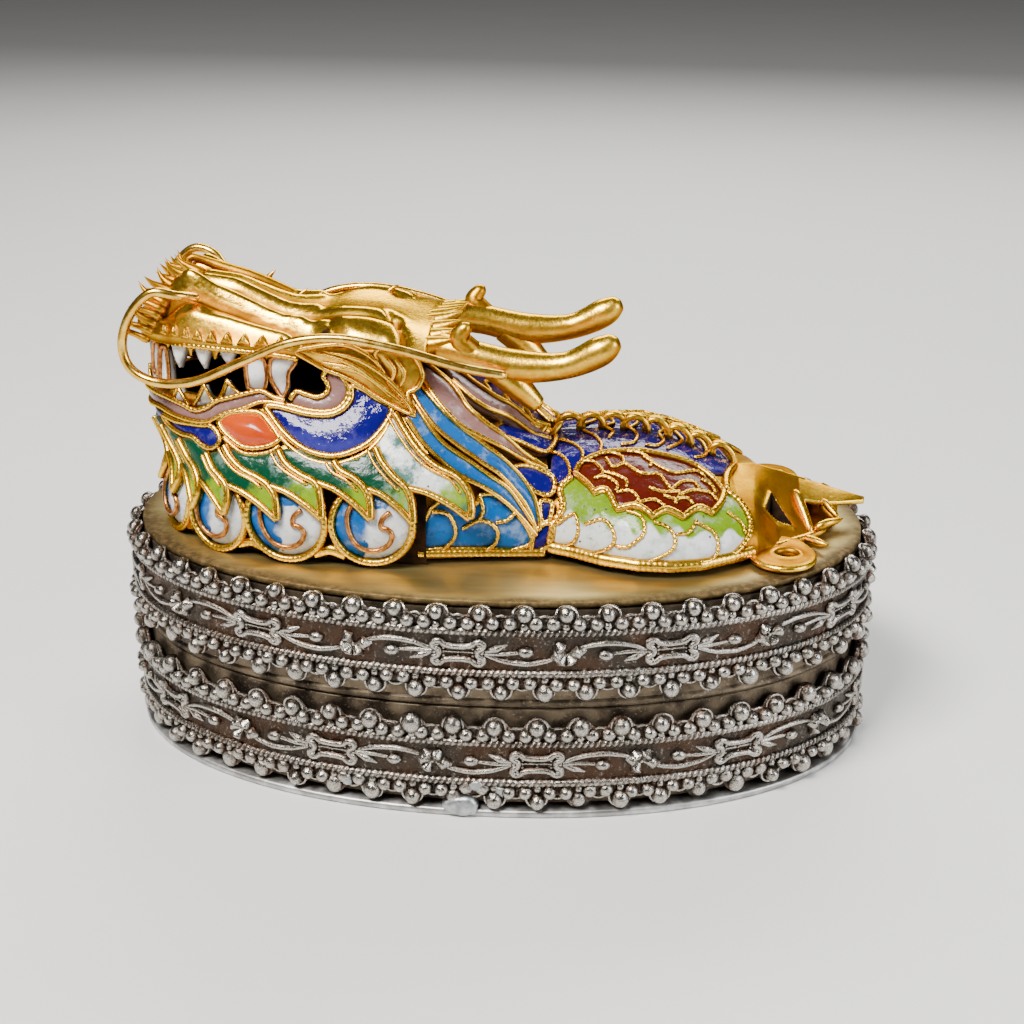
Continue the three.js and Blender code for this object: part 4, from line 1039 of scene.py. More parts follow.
strands = (
    (SKY, 0.0, 0.9, ((-9.1, 46), (-7.2, 38), (-4.8, 32), (-2.5, 28), (-0.1, 26), (2.3, 22), (4.2, 16),
                     (5.9, 8)),
     ((-8.4, 53), (-6.8, 46), (-4.9, 40), (-2.3, 36), (0.4, 32), (2.5, 29), (4.1, 22), (5.5, 14))),
    (SKY, 0.0, 1.1, ((-9.3, 60), (-8.3, 54), (-6.1, 46), (-3.6, 41), (-1.0, 37), (1.4, 34), (3.6, 28),
                     (4.9, 21), (5.9, 10)),
     ((-8.3, 63), (-5.7, 55), (-3.0, 49), (-0.3, 45), (2.1, 42), (4.0, 38), (5.4, 30), (6.1, 19), (6.2, 11))),
    (MAUVE, 0.6, 1.3, ((-8.7, 68), (-6.6, 59), (-4.4, 52), (-2.7, 49), (-0.3, 48), (2.0, 48),
                       (4.4, 50), (6.6, 50)),
     ((-8.2, 76), (-5.7, 72), (-4.2, 67), (-3.0, 61), (-1.3, 57), (0.9, 55), (3.3, 54), (5.1, 54),
      (6.8, 52))),
    (MAUVE, 0.6, 1.5, ((-5.2, 72), (-2.0, 65), (0.4, 66), (2.7, 70), (5.1, 75), (6.8, 79)),
     ((-6.7, 80), (-4.6, 80), (-1.8, 76), (0.4, 76), (2.8, 80), (4.9, 84), (6.9, 87))),
)
neck_scales = (
    ((-7.2, 2), (-7.1, 6), (-6.3, 12), (-5.3, 16), (-3.7, 19), (-1.1, 18), (-0.3, 23), (1.8, 24),
     (4.2, 15), (5.3, 7), (4.8, 2), (0.5, 2), (-4.7, 2)),
    ((-5.9, 13), (-4.2, 13), (-3.3, 9), (-3.4, 5), (-4.6, 2)),
    ((-2.5, 8), (-0.5, 12), (0.9, 11), (1.5, 8), (1.2, 4), (0.2, 2)),
    ((-0.6, 22), (-0.2, 16), (-0.9, 11)),
    ((1.2, 12), (2.6, 14), (3.5, 19)),
    ((5.4, 8), (4.9, 4), (3.0, 2)),
)
rear_scales = (
    ((3.2, 44), (4.6, 48), (6.2, 49), (7.6, 46), (7.4, 35), (5.7, 33), (4.6, 36), (3.4, 40)),
    ((6.2, 28), (7.5, 29), (7.3, 18), (6.4, 17)),
    ((6.0, 12), (7.6, 16), (7.7, 8), (7.0, 3), (5.3, 2)),
    ((0.5, 60), (3.5, 62), (6.5, 66), (7.2, 84), (4, 80), (1.5, 70)),
)


def neck(inlay):
    """The gilt neck, blue scales at its foot and crown, and strands of mane that stand off it."""
    x = np.linspace(-9, 6.9, 60)[None, :]
    tilt = np.linspace(0, 90, 44)[:, None]
    spots = np.stack(np.broadcast_arrays(x, tilt), -1)
    points = inlay.put(spots, -0.5 - 0.8 * ease((tilt - 8) / 10) * ease((80 - tilt) / 10))
    shade = np.broadcast_to(0.55 + 0.45 * ease((tilt - 20) / 10), points.shape[:2])
    inlay.shape.grid(points, slot=GOLD, hollow=shade)
    inlay.cell(neck_scales[0], SKY, 0.0, 0.0, 0.35, 1.2, 0.8)
    inlay.wire(neck_scales[0], 0.34, 0.1, True, 0.15)
    for arc in neck_scales[1:]:
        inlay.wire(arc, 0.3, 0.42, bead=0.3)
    for outline in rear_scales:
        inlay.cell(outline, NIGHT, 0.15, 0.0, 0.35, 0.8, 0.8)
        inlay.wire(outline, 0.34, 0.15, True, 0.2)
    for slot, tone, lift, low, high in strands:
        def sink(places, lift=lift):
            return lift * (1 - ease((places[:, 0] - 0.5) / 5))

        inlay.cell((*low, low[-1], high[-1], *high[::-1], high[0], low[0]), slot, tone, sink, 0.35, 0.6, 1.0)
        for line in (low, high):
            inlay.wire(line, 0.3, lambda places: 0.2 + sink(places), bead=0.06)
    inlay.wire([(x, 1.2) for x in (-7.5, -5, -2, 1, 4, 7)], 0.55, 0.25, bead=0.08)
    nape = ((-6.4, 90), (-6.4, 90), (-6.0, 84), (-4.2, 83), (-1.8, 79), (0.4, 79), (2.8, 82.5),
            (4.9, 86), (6.4, 89), (6.6, 90), (6.6, 90))
    inlay.cell(nape, NIGHT, 0.15, 0.0, 0.3, 0.8, 0.8)
    inlay.wire(nape[2:-2], 0.34, 0.25, bead=0.2)
    for x in (-4, -1.6, 0.8, 3.2):
        inlay.wire(((x, 90), (x + 1.0, 86), (x + 0.2, 82)), 0.27, 0.35, bead=0.3)


neck_inlay = Inlay(neck_side, (1, 0.24), head_inlay.shape)
for side in (1, -1):
    neck_inlay.side = side
    neck(neck_inlay)
lower_head = head_inlay.shape.build("lower_head_enamel", dragon_finishes)
seat(lower_head, "enamel", "dragon_head_shell")


# Dragon, upper head: one thick gilt casting of snout, nostrils, brows and cheek fins. The hair
# round its nose is filed into curled points, and the white upper teeth hang from its gum.
SNOUT_UNDER = 21.9
snout_line = ((-42.6, 23.4), (-41, 26.0), (-38, 27.5), (-34, 28.0), (-30.5, 27.9), (-27, 26.4),
              (-24, 25.2), (-21, 25.2), (-17.5, 25.8), (-13.5, 25.6), (-10, 24.8), (-7, 24.3))


def near_line(x, share, spots):
    """How far places on the casting are from a line through (x, share) spots, in mm."""
    flat = np.stack((x, abs(share) * 10), -1).reshape(-1, 2)
    line = curve([(a, b * 10) for a, b in spots])
    start, run = line[:-1], np.diff(line, axis=0)
    part = ((flat[:, None] - start) * run).sum(-1) / ((run ** 2).sum(-1) + 1e-9)
    nearest = start + np.clip(part, 0, 1)[..., None] * run
    return np.linalg.norm(flat[:, None] - nearest, axis=-1).min(1).reshape(x.shape)


def snout_half(x):
    at = np.interp(np.maximum(x + 1.5, -40.75), head_x, head_length)
    side_width = -(head_side(at, np.full_like(at, SNOUT_UNDER))[..., 1])
    return np.maximum((side_width + 0.8) * ease((x + 44.8) / 4), 1.4)


def snout_height(x, share):
    top = np.interp(x, *zip(*snout_line))
    top = top + 0.25 * (np.interp(x + 1, *zip(*snout_line)) + np.interp(x - 1, *zip(*snout_line)) - 2 * top)

    def bump(cx, cs, rx, rs, height):
        return height * np.exp(-((x - cx) / rx) ** 2 - ((abs(share) - cs) / rs) ** 2)

    base = SNOUT_UNDER + 0.9
    z = base + (top - base) * (1 - abs(share) ** 2.6)
    z = z + bump(-35.5, 0.5, 3.0, 0.3, 2.4) + bump(-15, 0.62, 5.2, 0.34, 1.1)
    z = z - bump(-20.5, 0.84, 1.6, 0.2, 1.6)
    for line, width, height in (
        (((-38, 0.74), (-34, 0.62), (-29, 0.6), (-24, 0.66), (-19.5, 0.8)), 0.85, -1.3),
        (((-38, 0.3), (-33, 0.26), (-28, 0.3), (-22, 0.4), (-16, 0.52), (-11, 0.5)), 0.8, -1.1),
        (((-34, 0.1), (-28, 0.12), (-21, 0.2)), 0.8, 0.55),
        (((-35, 0.5), (-29, 0.47), (-22, 0.55)), 0.9, 0.6),
        (((-36, 0.88), (-30, 0.84), (-24, 0.86), (-20, 0.93)), 0.8, 0.7),
        (((-18.5, 0.62), (-16, 0.9), (-12, 0.92)), 0.6, -0.6),
        (((-12, 0.35), (-10, 0.7), (-9.5, 0.95)), 0.5, -0.7),
    ):
        z = z + height * np.exp(-(near_line(x, share, line) / width) ** 2)
    return np.maximum(z, SNOUT_UNDER + 0.5)


def snout(shape):
    """The casting's top and its flat underside, closed at the nose and over the neck."""
    x = np.linspace(-42.6, -7, 130)[:, None]
    share = np.sin(np.linspace(-np.pi / 2, np.pi / 2, 85))[None, :]
    x, share = np.broadcast_arrays(x, share)
    z = snout_height(x, share)
    # Painted shade: the snout's sides and the hollows between its ridges get a higher shade mark.
    snout_painted_shade = ease((np.abs(share) - 0.55) / 0.6) * 0.3
    mean = sum(np.roll(np.roll(z, a, 0), b, 1) for a in (-3, 3) for b in (-3, 3)) / 4
    snout_painted_shade = snout_painted_shade + np.clip((mean - z) * 2.6, -0.25, 1.2)
    half = snout_half(x[:, :1])
    top = np.stack((x + DRAGON_X, half * share, z + DRAGON_FOOT), -1)
    under_share = np.linspace(0.985, -0.985, 9)[None, :]
    under_x, under_y = np.broadcast_arrays(x[:, :1] + DRAGON_X, half * under_share)
    under = np.stack((under_x, under_y, np.full(under_x.shape, SNOUT_UNDER + DRAGON_FOOT)), -1)
    # The flat underside is painted in deep shade.
    mark = np.concatenate((snout_painted_shade, np.full(under_x.shape, 0.9)), 1)
    shape.grid(np.concatenate((top, under), 1), ring=True, hollow=mark)
    shape.close(len(x), mark.shape[1])


def bar(shape, spots, sides=12, slot=0, step=0.5, hollow=0.0):
    """A tapered bar with rounded ends through (x, y, height, radius) spots."""
    line = curve(spots, False, step)
    middle = line[:, :3] + (DRAGON_X, 0, DRAGON_FOOT)
    radius = np.maximum(line[:, 3], 0.05)
    run = unit(np.gradient(middle, axis=0))
    out = np.zeros_like(run)
    out[0] = np.cross(run[0], (0.3, 1, 0.2))
    for index in range(1, len(run)):
        out[index] = out[index - 1] - run[index] * (out[index - 1] @ run[index])
    out = unit(out)
    rounding = np.array((0.25, 0.75))
    radius[:2] *= rounding
    radius[-2:] *= rounding[::-1]
    tube(shape, middle, out, radius, sides, False, slot, hollow=hollow)


def mirrored(spots):
    return [(x, -y, *rest) for x, y, *rest in spots]


upper_teeth = (
    ((0.5, 22.3), (3.1, 22.3), (2.5, 20.9), (1.8, 19.8), (1.1, 20.9)),
    ((3.7, 22.3), (6.3, 22.3), (5.7, 20.9), (5.0, 19.7), (4.3, 20.9)),
    ((12.3, 22.3), (15.9, 22.2), (15.0, 20.6), (13.9, 19.0), (12.9, 20.4)),
    ((16.8, 22.3), (19.9, 22.2), (19.2, 20.8), (18.5, 19.4), (17.5, 20.6)),
    ((20.6, 22.3), (23.3, 22.2), (22.6, 21.1), (22.0, 20.0), (21.1, 21.0)),
)
cheek_fins = (
    ((29.9, 22.6), (31.7, 23.2), (34.1, 23.6), (36.0, 23.3), (38.1, 22.0), (39.2, 20.4), (40.2, 18.6),
     (41.9, 17.0), (42.9, 15.6), (42.9, 15.6), (41.5, 16.1), (39.3, 17.1), (37.9, 17.9), (36.0, 19.1),
     (34.4, 19.9), (32.9, 20.5), (31.4, 21.5)),
    ((38.3, 22.8), (40.4, 23.2), (42.6, 22.4), (43.6, 20.2), (43.0, 18.6), (41.9, 17.9), (42.9, 15.9),
     (42.9, 15.9), (40.4, 18.2), (39.1, 20.4)),
)
fin_ribs = (
    ((31.5, 22.8), (35.5, 21.6), (38.5, 19.2), (41.6, 16.8)), ((33.5, 21.0), (36.5, 20.4), (39.5, 18.2)),
    ((40.5, 22.4), (41.6, 20.6), (41.2, 18.6)), ((32.8, 22.9), (36.8, 21.9), (40.0, 19.4), (42.2, 17.0)),
    ((32.5, 21.6), (35.6, 20.9), (38.4, 19.1), (40.2, 17.4)), ((39.4, 22.6), (40.5, 20.9), (40.2, 19.2)),
)


def on_snout(x, share):
    """A spot on the casting's top: how far out it is, and how high."""
    place = np.array([x])
    return float(snout_half(place)[0]) * share, float(snout_height(place, np.array([share]))[0])


def gum(inlay):
    """The upper teeth, the gilt points between them, and the beaded gum with its scallops."""
    for left, right, fall, tip, climb in upper_teeth:
        inlay.cell((left, left, right, right, fall, tip, tip, climb), WHITE, 0, -0.1, 0.35, 0.5, 0.8)
    for d in (11.6, 16.3, 20.2, 23.9, 26.3):
        left, right, tip = (d - 0.9, 22.2), (d + 0.9, 22.2), (d, 20.6)
        inlay.cell((left, left, right, right, tip, tip), GOLD, 0, 0.0, 0.2, 0.3, 0.7)
    inlay.wire([(9, 22.0), (15.6, 22.1), (22.9, 22.1), (27.5, 21.9), (30, 21.5)], 0.42, 0.5, bead=0.25)
    inlay.wire([(8.5, 22.7), (15.6, 22.8), (22.9, 22.8), (29, 22.5)], 0.3, 0.55)
    for d in np.arange(12.5, 29.5, 1.95):
        left, right, tip = (d - 0.75, 23.0), (d + 0.75, 23.0), (d + 0.1, 24.2)
        inlay.cell((left, left, right, right, tip, tip), GOLD, 0, 1.0, 0.5, 0.4, 0.8, 0.35)


def cheek(inlay):
    """Two fins that hang over the side of the jaw, with ribs along them."""
    for outline, lift in zip(cheek_fins, (0.9, 0.6)):
        inlay.cell(outline, GOLD, 0, lift, 0.6, 1.2, 1.1)
        inlay.wire(outline, 0.28, lift + 0.15, True)
    for rib in fin_ribs:
        inlay.wire(rib, 0.3, 1.45, taper=0.8)


def nose_hair(shape, y):
    """Curled points on one side, from the top of the nose down to the lip."""
    for index in range(12):
        swing = index / 11
        x0, y0 = -36.6 - 4.4 * swing ** 0.8, y * (1.6 + 6.4 * swing)
        z0 = 28.6 - 5.4 * swing ** 1.7
        rise = 1.7 - 0.9 * swing + 0.7 * math.sin(index * 2.3)
        turn = y * 0.7 * math.sin(index * 1.7 + 0.5)
        long = 1.5 + 0.5 * math.sin(index * 3.1 + 1)
        bar(shape, (
            (x0 + 1.8, y0, z0 - 0.8, 1.0 - 0.4 * swing), (x0 + 0.4, y0, z0 - 0.1, 0.75 - 0.35 * swing),
            (x0 - long * 0.5, y0 + turn * 0.5, z0 + rise * 0.4, 0.36),
            (x0 - long, y0 + turn, z0 + rise, 0.04),
        ), 7, step=0.4)


def mane_lobes(shape, y):
    """Lobes that end the casting on one side, over the neck."""
    for index in range(4):
        y0 = y * (0.9 + 2.3 * index)
        # Painted shade: the lobes are painted a little darker all over.
        bar(shape, (
            (-10, y0, 22.6, 1.5), (-7.4, y0 * 1.02, 23.4 - 0.25 * index, 1.25),
            (-5.4, y0 * 1.06, 24.1 - 0.3 * index, 0.8), (-3.8, y0 * 1.1, 25.0 - 0.4 * index, 0.15),
        ), 10, hollow=0.15)


def eye_hole(shape, y):
    """A slot let into the casting, in front of the brow, in the dark material as painted shade."""
    spots = []
    for x, radius in ((-20.5, 0.2), (-19.4, 0.5), (-18.3, 0.2)):
        out, z = on_snout(x, 0.74)
        spots.append((x, y * out, z + 0.1, radius))
    bar(shape, spots, 12, DARK, 0.3)


upper_inlay = Inlay(head_side)
snout(upper_inlay.shape)
for side in (1, -1):
    upper_inlay.side = side
    gum(upper_inlay)
    cheek(upper_inlay)
    nose_hair(upper_inlay.shape, -side)
    mane_lobes(upper_inlay.shape, -side)
    eye_hole(upper_inlay.shape, -side)
for x, tall in ((-27.8, 1.5), (-24.0, 1.3), (-22.2, 1.3), (-13.0, 0.9)):
    out, z = on_snout(x, 0.42)
    spike = ((x - 0.7, out, z - 0.4, 0.6), (x + 0.1, out, z + tall * 0.5, 0.35),
             (x + 0.9, out, z + tall, 0.05))
    bar(upper_inlay.shape, spike, 6, step=0.3)
bar(upper_inlay.shape, ((-36.2, 2.6, 28.4, 0.4), (-37.2, 2.8, 29.1, 0.45), (-36.6, 3.0, 29.7, 0.5),
                        (-34.8, 3.2, 29.1, 0.6), (-32.6, 3.2, 28.3, 0.8), (-29, 3.0, 27.3, 0.8),
                        (-24, 3.0, 25.3, 0.6)), 10)
upper_head = upper_inlay.shape.build("upper_head_casting", dragon_finishes)
seat(upper_head, "gilding", "dragon_upper_head")


# Dragon, horns: two gilt bars, each branching into an upper and a lower stub, soldered behind
# the brows and reaching back over the neck. Their undersides are painted darker than their tops, as painted
# shade.
horn_spots = (
    ((-6.3, -7.2, 22.3, 1.9), (-2, -7.8, 21.6, 1.82), (3, -8, 20.6, 1.9), (8.5, -8.3, 20.9, 1.57),
     (12.6, -8.4, 22.8, 1.73), (14.4, -8.4, 24.3, 0.83)),
    ((-1.5, -8, 21.8, 1.32), (-3.4, -8.4, 23.8, 1.24), (-2.2, -8.7, 25.6, 0.58)),
    ((0, -7.8, 20.8, 1.65), (3.2, -8, 18.2, 1.57), (5.8, -8, 15.8, 0.91)),
)
for cad_node, name, turn_over in (("horn_near", "near_horn", False), ("horn_far", "far_horn", True)):
    horn = Shape()
    for spots in horn_spots:
        bar(horn, mirrored(spots) if turn_over else spots, 20, step=0.35)
    seat(horn.build(name, [gilding.material]), "gilding", cad_node)


# Dragon, whiskers: long gilt wires that leave the nostrils, loop round in front of the mouth and
# run back along the cheeks to the neck, polished along the front by handling.
whisker_spots = ((-33.6, -6.2, 27.2), (-35.6, -8.4, 27.9), (-38.4, -9, 28.3), (-41, -9, 25.7),
                 (-42.2, -9, 22.1), (-41.2, -9.3, 19.3), (-38, -10, 18.1), (-33.3, -11.4, 18.8),
                 (-27.5, -12.6, 21.6), (-21.8, -13, 24.1), (-16.2, -13, 24.7), (-9.5, -12.8, 23.5),
                 (-2.9, -11.8, 21.4), (2.2, -10.9, 20.3))
whisker_gold = Finish("polished_gilding", metallic=1.0, specular_tint=(1.0, 0.75, 0.4))
rubbing = whisker_gold.noise(0.8, 4)
whisker_gold.set(base_color=whisker_gold.mix(rubbing.ramp(0.3, 0.7), (0.74, 0.38, 0.03), (1.0, 0.68, 0.14)))
whisker_gold.set(roughness=0.14 + rubbing * 0.2)
whisker_gold.bump(whisker_gold.noise(3.0, 3), 0.03, 0.5)
far_spots = [(x, 0.7 - y, h + (-0.8 if index > 7 else 0.9 if index else 0))
             for index, (x, y, h) in enumerate(whisker_spots)]
for cad_node, name, spots in (("whisker_near", "near_whisker", whisker_spots),
                              ("whisker_far", "far_whisker", far_spots)):
    whisker = Shape()
    bar(whisker, [(*spot, 0.56) for spot in spots], 12)
    seat(whisker.build(name, [whisker_gold.material]), "gilding", cad_node)


# Dragon, body: a hollow dome behind the neck, enamelled in scales. Notched wires part them:
# dark blue along the back, an oval of red-brown ones, then green ones running into white.
BODY_FRONT = 7.1
BODY_REAR = 31.0
body_half = ((7.1, 14.2), (10, 15.4), (13.5, 17.4), (17.5, 18.6), (21, 18.6), (24.5, 17.6), (28, 15.2),
             (31, 12.8))
body_top = ((7.1, 10.2), (13, 10.6), (17.5, 10.5), (22, 9.3), (28.5, 6.6), (31, 5.3))


def body_side(x, tilt):
    """Points of the body's near side: tilt is 0 degrees at the rim and 90 along the back."""
    half = np.interp(x, *zip(*body_half))
    high = np.interp(x, *zip(*body_top))
    cosine, sine = np.cos(np.radians(tilt)), np.sin(np.radians(tilt))
    y = -half * np.sign(cosine) * abs(cosine) ** 0.9
    z = DRAGON_FOOT + 0.8 + (high - 0.8) * np.sign(sine) * abs(sine) ** 0.9
    return np.stack(np.broadcast_arrays(x + DRAGON_X, y, z), -1)


red_glass = glass("red_brown_enamel", (0.075, 0.006, 0.002), (0.12, 0.015, 0.004), 0.2)
field_glass = glass("green_white_enamel", (0.14, 0.26, 0.001), (0.64, 0.67, 0.66), 1.0, (0.36, 0.42, 0.36),
                    0.5)
BACK_BLUE, RED_BROWN, FIELD_GREEN = 1, 2, 3
body_finishes = [finish.material for finish in (gilding, night_glass, red_glass, field_glass)]
body_wires = (
    ((6.8, 66), (7.9, 65), (9.1, 58), (9.4, 48), (8.6, 44)),
    ((7.8, 78), (9.5, 74), (10.7, 67), (10.7, 60)),
    ((10.5, 87), (11.9, 82), (12.8, 75), (12.8, 69)),
    ((13.2, 89), (14.1, 86), (13.6, 80)),
    ((16.0, 90), (16.9, 85), (16.6, 78), (15.0, 75)),
    ((19.4, 90), (20.0, 85), (19.2, 79), (17.8, 77)),
    ((22.3, 90), (21.6, 85), (20.4, 79)),
    ((25.2, 90), (24.8, 84), (23.6, 79)),
    ((10.8, 60), (12.1, 60), (13.2, 54), (12.6, 49)),
    ((13.4, 64), (14.3, 58), (15.6, 61), (17.5, 56), (19.4, 58), (20.2, 54), (20.9, 50)),
    ((12.2, 49), (13.5, 51), (14.9, 47), (14.7, 43)),
    ((14.8, 42), (16.3, 44), (17.3, 40), (16.8, 36)),
    ((17.4, 38), (19.0, 41), (20.2, 38), (20.0, 35)),
    ((18.3, 48), (19.9, 47), (21.8, 49), (21.3, 41)),
    ((17.6, 68), (19.8, 63), (21.5, 62), (23.7, 68), (24.8, 66)),
    ((21.8, 47), (23.4, 53), (25.3, 54), (26.1, 49)),
    ((12.6, 66), (14.0, 68), (15.2, 66), (15.6, 61)),
    ((15.8, 70), (17.2, 70), (18.6, 66), (18.4, 62)),
    ((13.2, 54), (14.6, 53), (15.9, 50), (15.9, 46)),
    ((20.9, 50), (22.2, 57), (23.6, 59), (24.2, 53)),
    ((24.3, 63), (25.5, 60), (25.9, 55)),
    ((20.0, 45), (21.3, 44), (22.6, 46), (23.4, 43)),
    ((8.3, 17), (10.2, 25), (10.8, 16), (10.3, 8), (9.0, 4)),
    ((11.5, 20), (13.5, 25), (14.7, 19), (14.6, 11), (12.5, 4)),
    ((16.0, 32), (17.6, 30), (18.0, 21), (16.5, 12), (14.9, 11)),
    ((19.0, 28), (20.6, 26), (21.4, 19), (20.9, 11), (18.6, 4)),
    ((21.5, 22), (22.9, 24), (23.8, 33)),
    ((23.8, 31), (25.6, 25), (26.2, 13), (25.6, 5), (24.2, 4)),
    ((27.2, 41), (28.9, 32), (29.3, 22)),
)
brown_edge = ((10.0, 51), (10.6, 59), (12, 65), (14.2, 70), (18.3, 73), (21.5, 74), (24, 73),
              (25.9, 67), (27.0, 58))
zigzag = ((27.0, 58), (26.6, 49), (25.5, 39.5), (25.5, 39.5), (24, 42), (22.2, 33.5), (22.2, 33.5),
          (20.5, 37), (18.9, 31.5), (18.9, 31.5), (17.1, 36), (15.0, 32.5), (15.0, 32.5), (13.7, 43),
          (12.4, 40.5), (12.4, 40.5), (11.6, 45), (10.0, 51))
back_edge = ((7.2, 44), (7.2, 90), (7.2, 90), (28.6, 90), (28.6, 90), (27.6, 78), (25.9, 73))
field_edge = ((7.4, 4), (7.4, 4), (7.8, 16), (8.8, 28), (8.4, 40), (9.7, 49))
tail_edge = ((27.4, 60), (29.0, 52), (30.0, 38), (29.9, 22), (29.0, 10), (28.0, 4), (28.0, 4))


def body(inlay):
    """The gilt dome, its three fields of enamel and the wires that part the scales."""
    x = np.linspace(BODY_FRONT, BODY_REAR, 90)[None, :]
    tilt = np.linspace(0, 90, 40)[:, None]
    spots = np.stack(np.broadcast_arrays(x, tilt), -1)
    # Painted shade: the gilt dome under the enamel is painted at a middling shade throughout.
    inlay.shape.grid(inlay.put(spots, -0.25), hollow=0.55)
    back = (*back_edge, *brown_edge[::-1][1:], (9.2, 46), (8.4, 43))
    inlay.cell(back, BACK_BLUE, 0.15, 0.0, 0.25, 0.8, 0.5)
    inlay.cell((*brown_edge, *zigzag[1:-1]), RED_BROWN, 0.4, 0.0, 0.25, 0.8, 0.5)
    inlay.cell((*field_edge, *zigzag[::-1], *tail_edge), FIELD_GREEN,
               lambda p: 0.5 + (23 + 4 * np.sin(p[:, 0] * 2.1) - p[:, 1]) * 0.05, -0.05, 0.3, 0.8, 0.5)
    inlay.wire(brown_edge, 0.4, 0.25, bead=0.12)
    inlay.wire(zigzag, 0.42, 0.35, bead=0.1)
    inlay.wire([(x, t - 1.2) for x, t in zigzag], 0.25, 0.2)
    inlay.wire(tail_edge[:-1], 0.4, 0.15, bead=0.15)
    inlay.wire(field_edge[1:], 0.5, 0.15, bead=0.2)
    inlay.wire(((28.6, 89), (27.8, 79), (27.4, 70), (27.4, 61)), 0.5, 0.2, bead=0.2)
    for spots in body_wires:
        inlay.wire(spots, 0.27, 0.36, bead=0.35)
    inlay.wire([(x, 1.5) for x in np.linspace(7.3, 30.6, 24)], 0.8, -0.1, bead=0.05, sides=8)


body_inlay = Inlay(body_side, (1, 0.26))
for side in (1, -1):
    body_inlay.side = side
    body(body_inlay)
# The rims that close both ends are painted in shade as well.
for x in (BODY_FRONT, BODY_REAR):
    rim = body_side(np.full(40, x), np.linspace(0, 180, 40))
    body_inlay.shape.grid(np.array([rim * (1, share, 1) for share in (1, 0.6, 0.1)]), hollow=0.6)
dragon_body = body_inlay.shape.build("body_enamel", body_finishes)
seat(dragon_body, "enamel", "dragon_body_shell")


# Dragon, crest: gilt wire bent into a row of double arches and soldered along the back, with
# three short slanted tabs on the near side, where it runs down on to the neck.
CREST_START = 7.4
CREST_LENGTH = 21
ARCHES = 8
ARCH_PITCH = CREST_LENGTH / ARCHES
crest = Shape()
for index in range(ARCHES):
    start = CREST_START + index * ARCH_PITCH
    end = start + ARCH_PITCH + 0.3
    base = np.interp((start, end), *zip(*body_top)) + 0.1
    share = np.linspace(0, np.pi, 14)
    x = start + (end - start) * (0.5 - 0.5 * np.cos(share))
    z = base[0] + (base[1] - base[0]) * (0.5 - 0.5 * np.cos(share)) + 1.9 * np.sin(share) ** 0.8
    lean = 0.12 * (-1 if index % 2 else 1)
    for offset in (-0.22, 0.22):
        middle = np.stack((x + DRAGON_X, np.full(14, offset + lean), z + DRAGON_FOOT), -1)
        # Painted highlight: the arches are painted lighter than other gilt wires, their undersides still
        # darker as shade.
        tube(crest, middle, np.tile((0.0, 1.0, 0.0), (14, 1)), 0.42, 8, hollow=-0.4)
for x, y, z in ((5.6, -3.2, 10.9), (7.3, -2.2, 10.9), (3.9, -4.4, 11.2)):
    bar(crest, ((x - 0.7, y - 0.7, z - 0.6, 0.35), (x, y - 0.2, z + 0.3, 0.42),
                (x + 0.8, y + 0.5, z + 1.1, 0.4)), 8)
seat(crest.build("crest_ribbon", [gilding.material]), "gilding", "back_crest")


# Dragon, tail: a gilt casting like a fish's tail, ridged along the middle and cut through with
# three-cornered openings, with a pierced lug on each side and pronged tips.
tail_line = ((28, 15.0, 6.3, 0.2), (29.5, 13.7, 5.95, 0.9), (31, 13.0, 5.5, 1.45),
             (32, 12.1, 5.35, 1.3), (33, 11.2, 5.2, 1.2), (34.2, 10.0, 5.0, 1.1),
             (35.5, 9.0, 4.8, 0.9), (37.2, 7.6, 4.4, 0.8))
TAIL_RIM = 0.65
tail_opening = np.array(((33.0, 4.0), (32.2, 7.4), (35.3, 7.2)))
tail = Shape()


def tail_sheet(x, share, half, top, under, hollow, end_slot):
    """A ridged top over an underside, from rows along x, closed at both ends."""
    upper = np.stack((x + DRAGON_X + 0 * share, half * share, top + DRAGON_FOOT), -1)
    lower = upper[:, ::-1] * (1, 1, 0)
    lower[..., 2] += under + DRAGON_FOOT
    tail.grid(np.concatenate((upper, lower), 1), ring=True, hollow=hollow)
    tail.close(len(x), 2 * share.size, end_slot, turned=False)


x = np.linspace(28, 37.2, 92)[:, None]
share = np.linspace(-1, 1, 141)[None, :]
along, *columns = np.array(tail_line).T
half, low_ridge, crown = (np.interp(x, along, column) for column in columns)
tent = ease((x - 30.5) / 3.5)
round_section = np.clip(1 - abs(share) ** 2.22, 0, 1) ** 0.45
section = tent * (1 - abs(share) ** 1.15) + (1 - tent) * round_section
top = TAIL_RIM + (low_ridge - TAIL_RIM) * section + crown * (1 - abs(share)) ** 3
flat = np.stack(np.broadcast_arrays(x, abs(half * share)), -1).reshape(-1, 2)
cut = is_inside(flat, tail_opening).reshape(top.shape)
lip = np.exp(-(gap_to(flat, tail_opening) / 0.4) ** 2).reshape(top.shape)
# Painted shade: the fin is painted darker towards its sides and lighter along the lips of its openings, as
# painted highlight; its underside is painted in deep shade.
shade = 0.5 + 0.3 * abs(share) - 0.6 * lip + 0 * x
hollow = np.concatenate((shade, np.full(top.shape, 0.9)), 1)
tail_sheet(x, share, half, np.where(cut, TAIL_RIM, top + 0.3 * lip), 0.15, hollow, 1)
# The openings take the dark material: painted shade where one sees through the fin.
for index in range(len(x) - 1):
    for step in range(share.size - 1):
        if cut[index: index + 2, step: step + 2].any():
            tail.slots[index * 2 * share.size + step] = 1

x = np.linspace(36.4, 44.4, 60)[:, None]
share = np.linspace(-1, 1, 41)[None, :]
half = np.interp(x, (36.4, 39, 41, 43, 44.4), (3.4, 2.9, 2.2, 1.1, 0.3))
ridge = np.interp(x, (36.4, 40.3, 44.4), (5.35, 4.15, 3.05))
edge = np.interp(x, (36.4, 40, 44.4), (3.85, 3.25, 2.75))
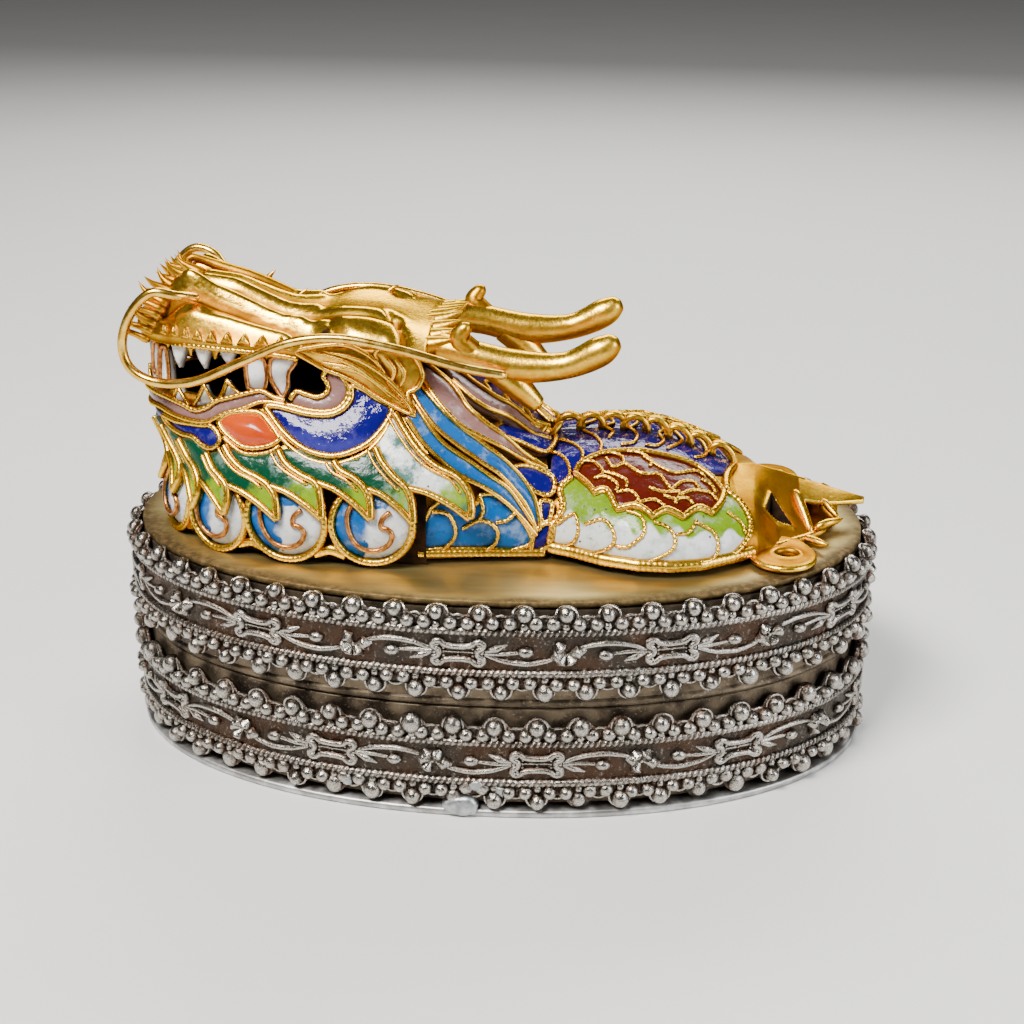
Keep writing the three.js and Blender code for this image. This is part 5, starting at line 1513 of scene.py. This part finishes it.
# Painted shade on the tip: heavier along its middle.
hollow = 0.1 + 0.3 * (1 - abs(np.concatenate((share, share), 1))) + 0 * x
tail_sheet(x, share, half, edge + (ridge - edge) * (1 - abs(share) ** 1.2), edge - 0.5, hollow, 0)
# The web under the tip and the slabs at its foot are painted in deep shade.
for outline in (((36.8, 0.35, 0.4, 3.6), (39.0, 0.35, 0.4, 3.2), (41.3, 0.35, 0.4, 2.9)),
                ((36.8, 7.0, 0.15, 0.6), (38.6, 5.4, 0.15, 0.6), (40.4, 3.2, 0.15, 0.6))):
    rows = []
    for a, w, bottom, high in outline:
        corners = ((-1, bottom), (-1, high), (1, high), (1, bottom))
        rows.append([(a + DRAGON_X, s * w, z + DRAGON_FOOT) for s, z in corners])
    tail.grid(np.array(rows), ring=True, hollow=0.8)
    tail.close(len(rows), 4)
# Each prong: its painted shade, then (x, y, height, radius) spots.
prongs = (
    (0.0, ((35.8, 2.2, 4.5, 0.45), (36.3, 3.4, 3.7, 0.6), (37.1, 5.2, 2.1, 0.55), (37.7, 6.8, 0.6, 0.4))),
    (0.0, ((39.2, 2.4, 3.5, 0.4), (40.1, 3.6, 2.7, 0.45), (41.0, 4.8, 2.0, 0.3))),
    (0.6, ((39.0, 2.0, 2.6, 0.5), (39.9, 3.2, 2.1, 0.6), (40.6, 4.4, 1.8, 0.4))),
    (0.0, ((38.0, 6.6, 1.3, 0.5), (39.4, 6.0, 1.8, 0.55), (40.6, 5.3, 1.9, 0.4), (41.5, 4.7, 2.0, 0.1))),
    (0.0, ((36.6, 7.6, 0.7, 0.5), (37.9, 8.8, 0.7, 0.55), (38.8, 9.6, 0.7, 0.4), (39.5, 10.1, 0.75, 0.1))),
    (0.0, ((33.0, 10.9, 0.6, 0.5), (35.5, 8.8, 0.6, 0.55), (37.6, 6.9, 0.6, 0.5), (39.5, 5.4, 0.8, 0.4))),
)
# Each ring of a lug: how far out from the hole, its height, and its painted shade.
lug_profile = ((0, 0.1, 1.0), (0, 0.7, 1.0), (0.1, 1.05, 0.3), (0.25, 0.85, 0.7), (0.6, 0.75, 0.7),
               (0.88, 0.8, 0.4), (0.97, 0.6, 0.0), (1, 0.35, 0.0), (0.96, 0.08, 0.9))


def lug(side):
    """A pierced eye beside the tail, from rings that run out from its hole."""
    around = np.linspace(0, 2 * np.pi, 60, endpoint=False)
    rim = np.stack((33.9 + 3.9 * np.cos(around), 12.8 + 4.2 * np.sin(around)), -1)
    hole = np.stack((34.4 + 1.3 * np.cos(around), 13.1 + 1.15 * np.sin(around)), -1)
    rings = []
    for outwards, z, _ in lug_profile:
        ring = hole + (rim - hole) * outwards
        z = z + (0.5 * ease((11.4 - ring[:, 1]) / 3.0) if z > 0.3 else 0)
        rings.append(np.stack((ring[:, 0] + DRAGON_X, side * ring[:, 1], z + DRAGON_FOOT + 0 * around), -1))
    hollow = np.array([hollow for _, _, hollow in lug_profile])[:, None]
    tail.grid(np.array(rings), loop=True, ring=True, hollow=hollow)


for side in (-1, 1):
    for hollow, spots in prongs:
        bar(tail, [(a, side * y, z, radius) for a, y, z, radius in spots], 8, hollow=hollow)
    lug(side)
seat(tail.build("tail_casting", [gilding.material, painted_shade_inside.material]), "gilding", "tail_fin")
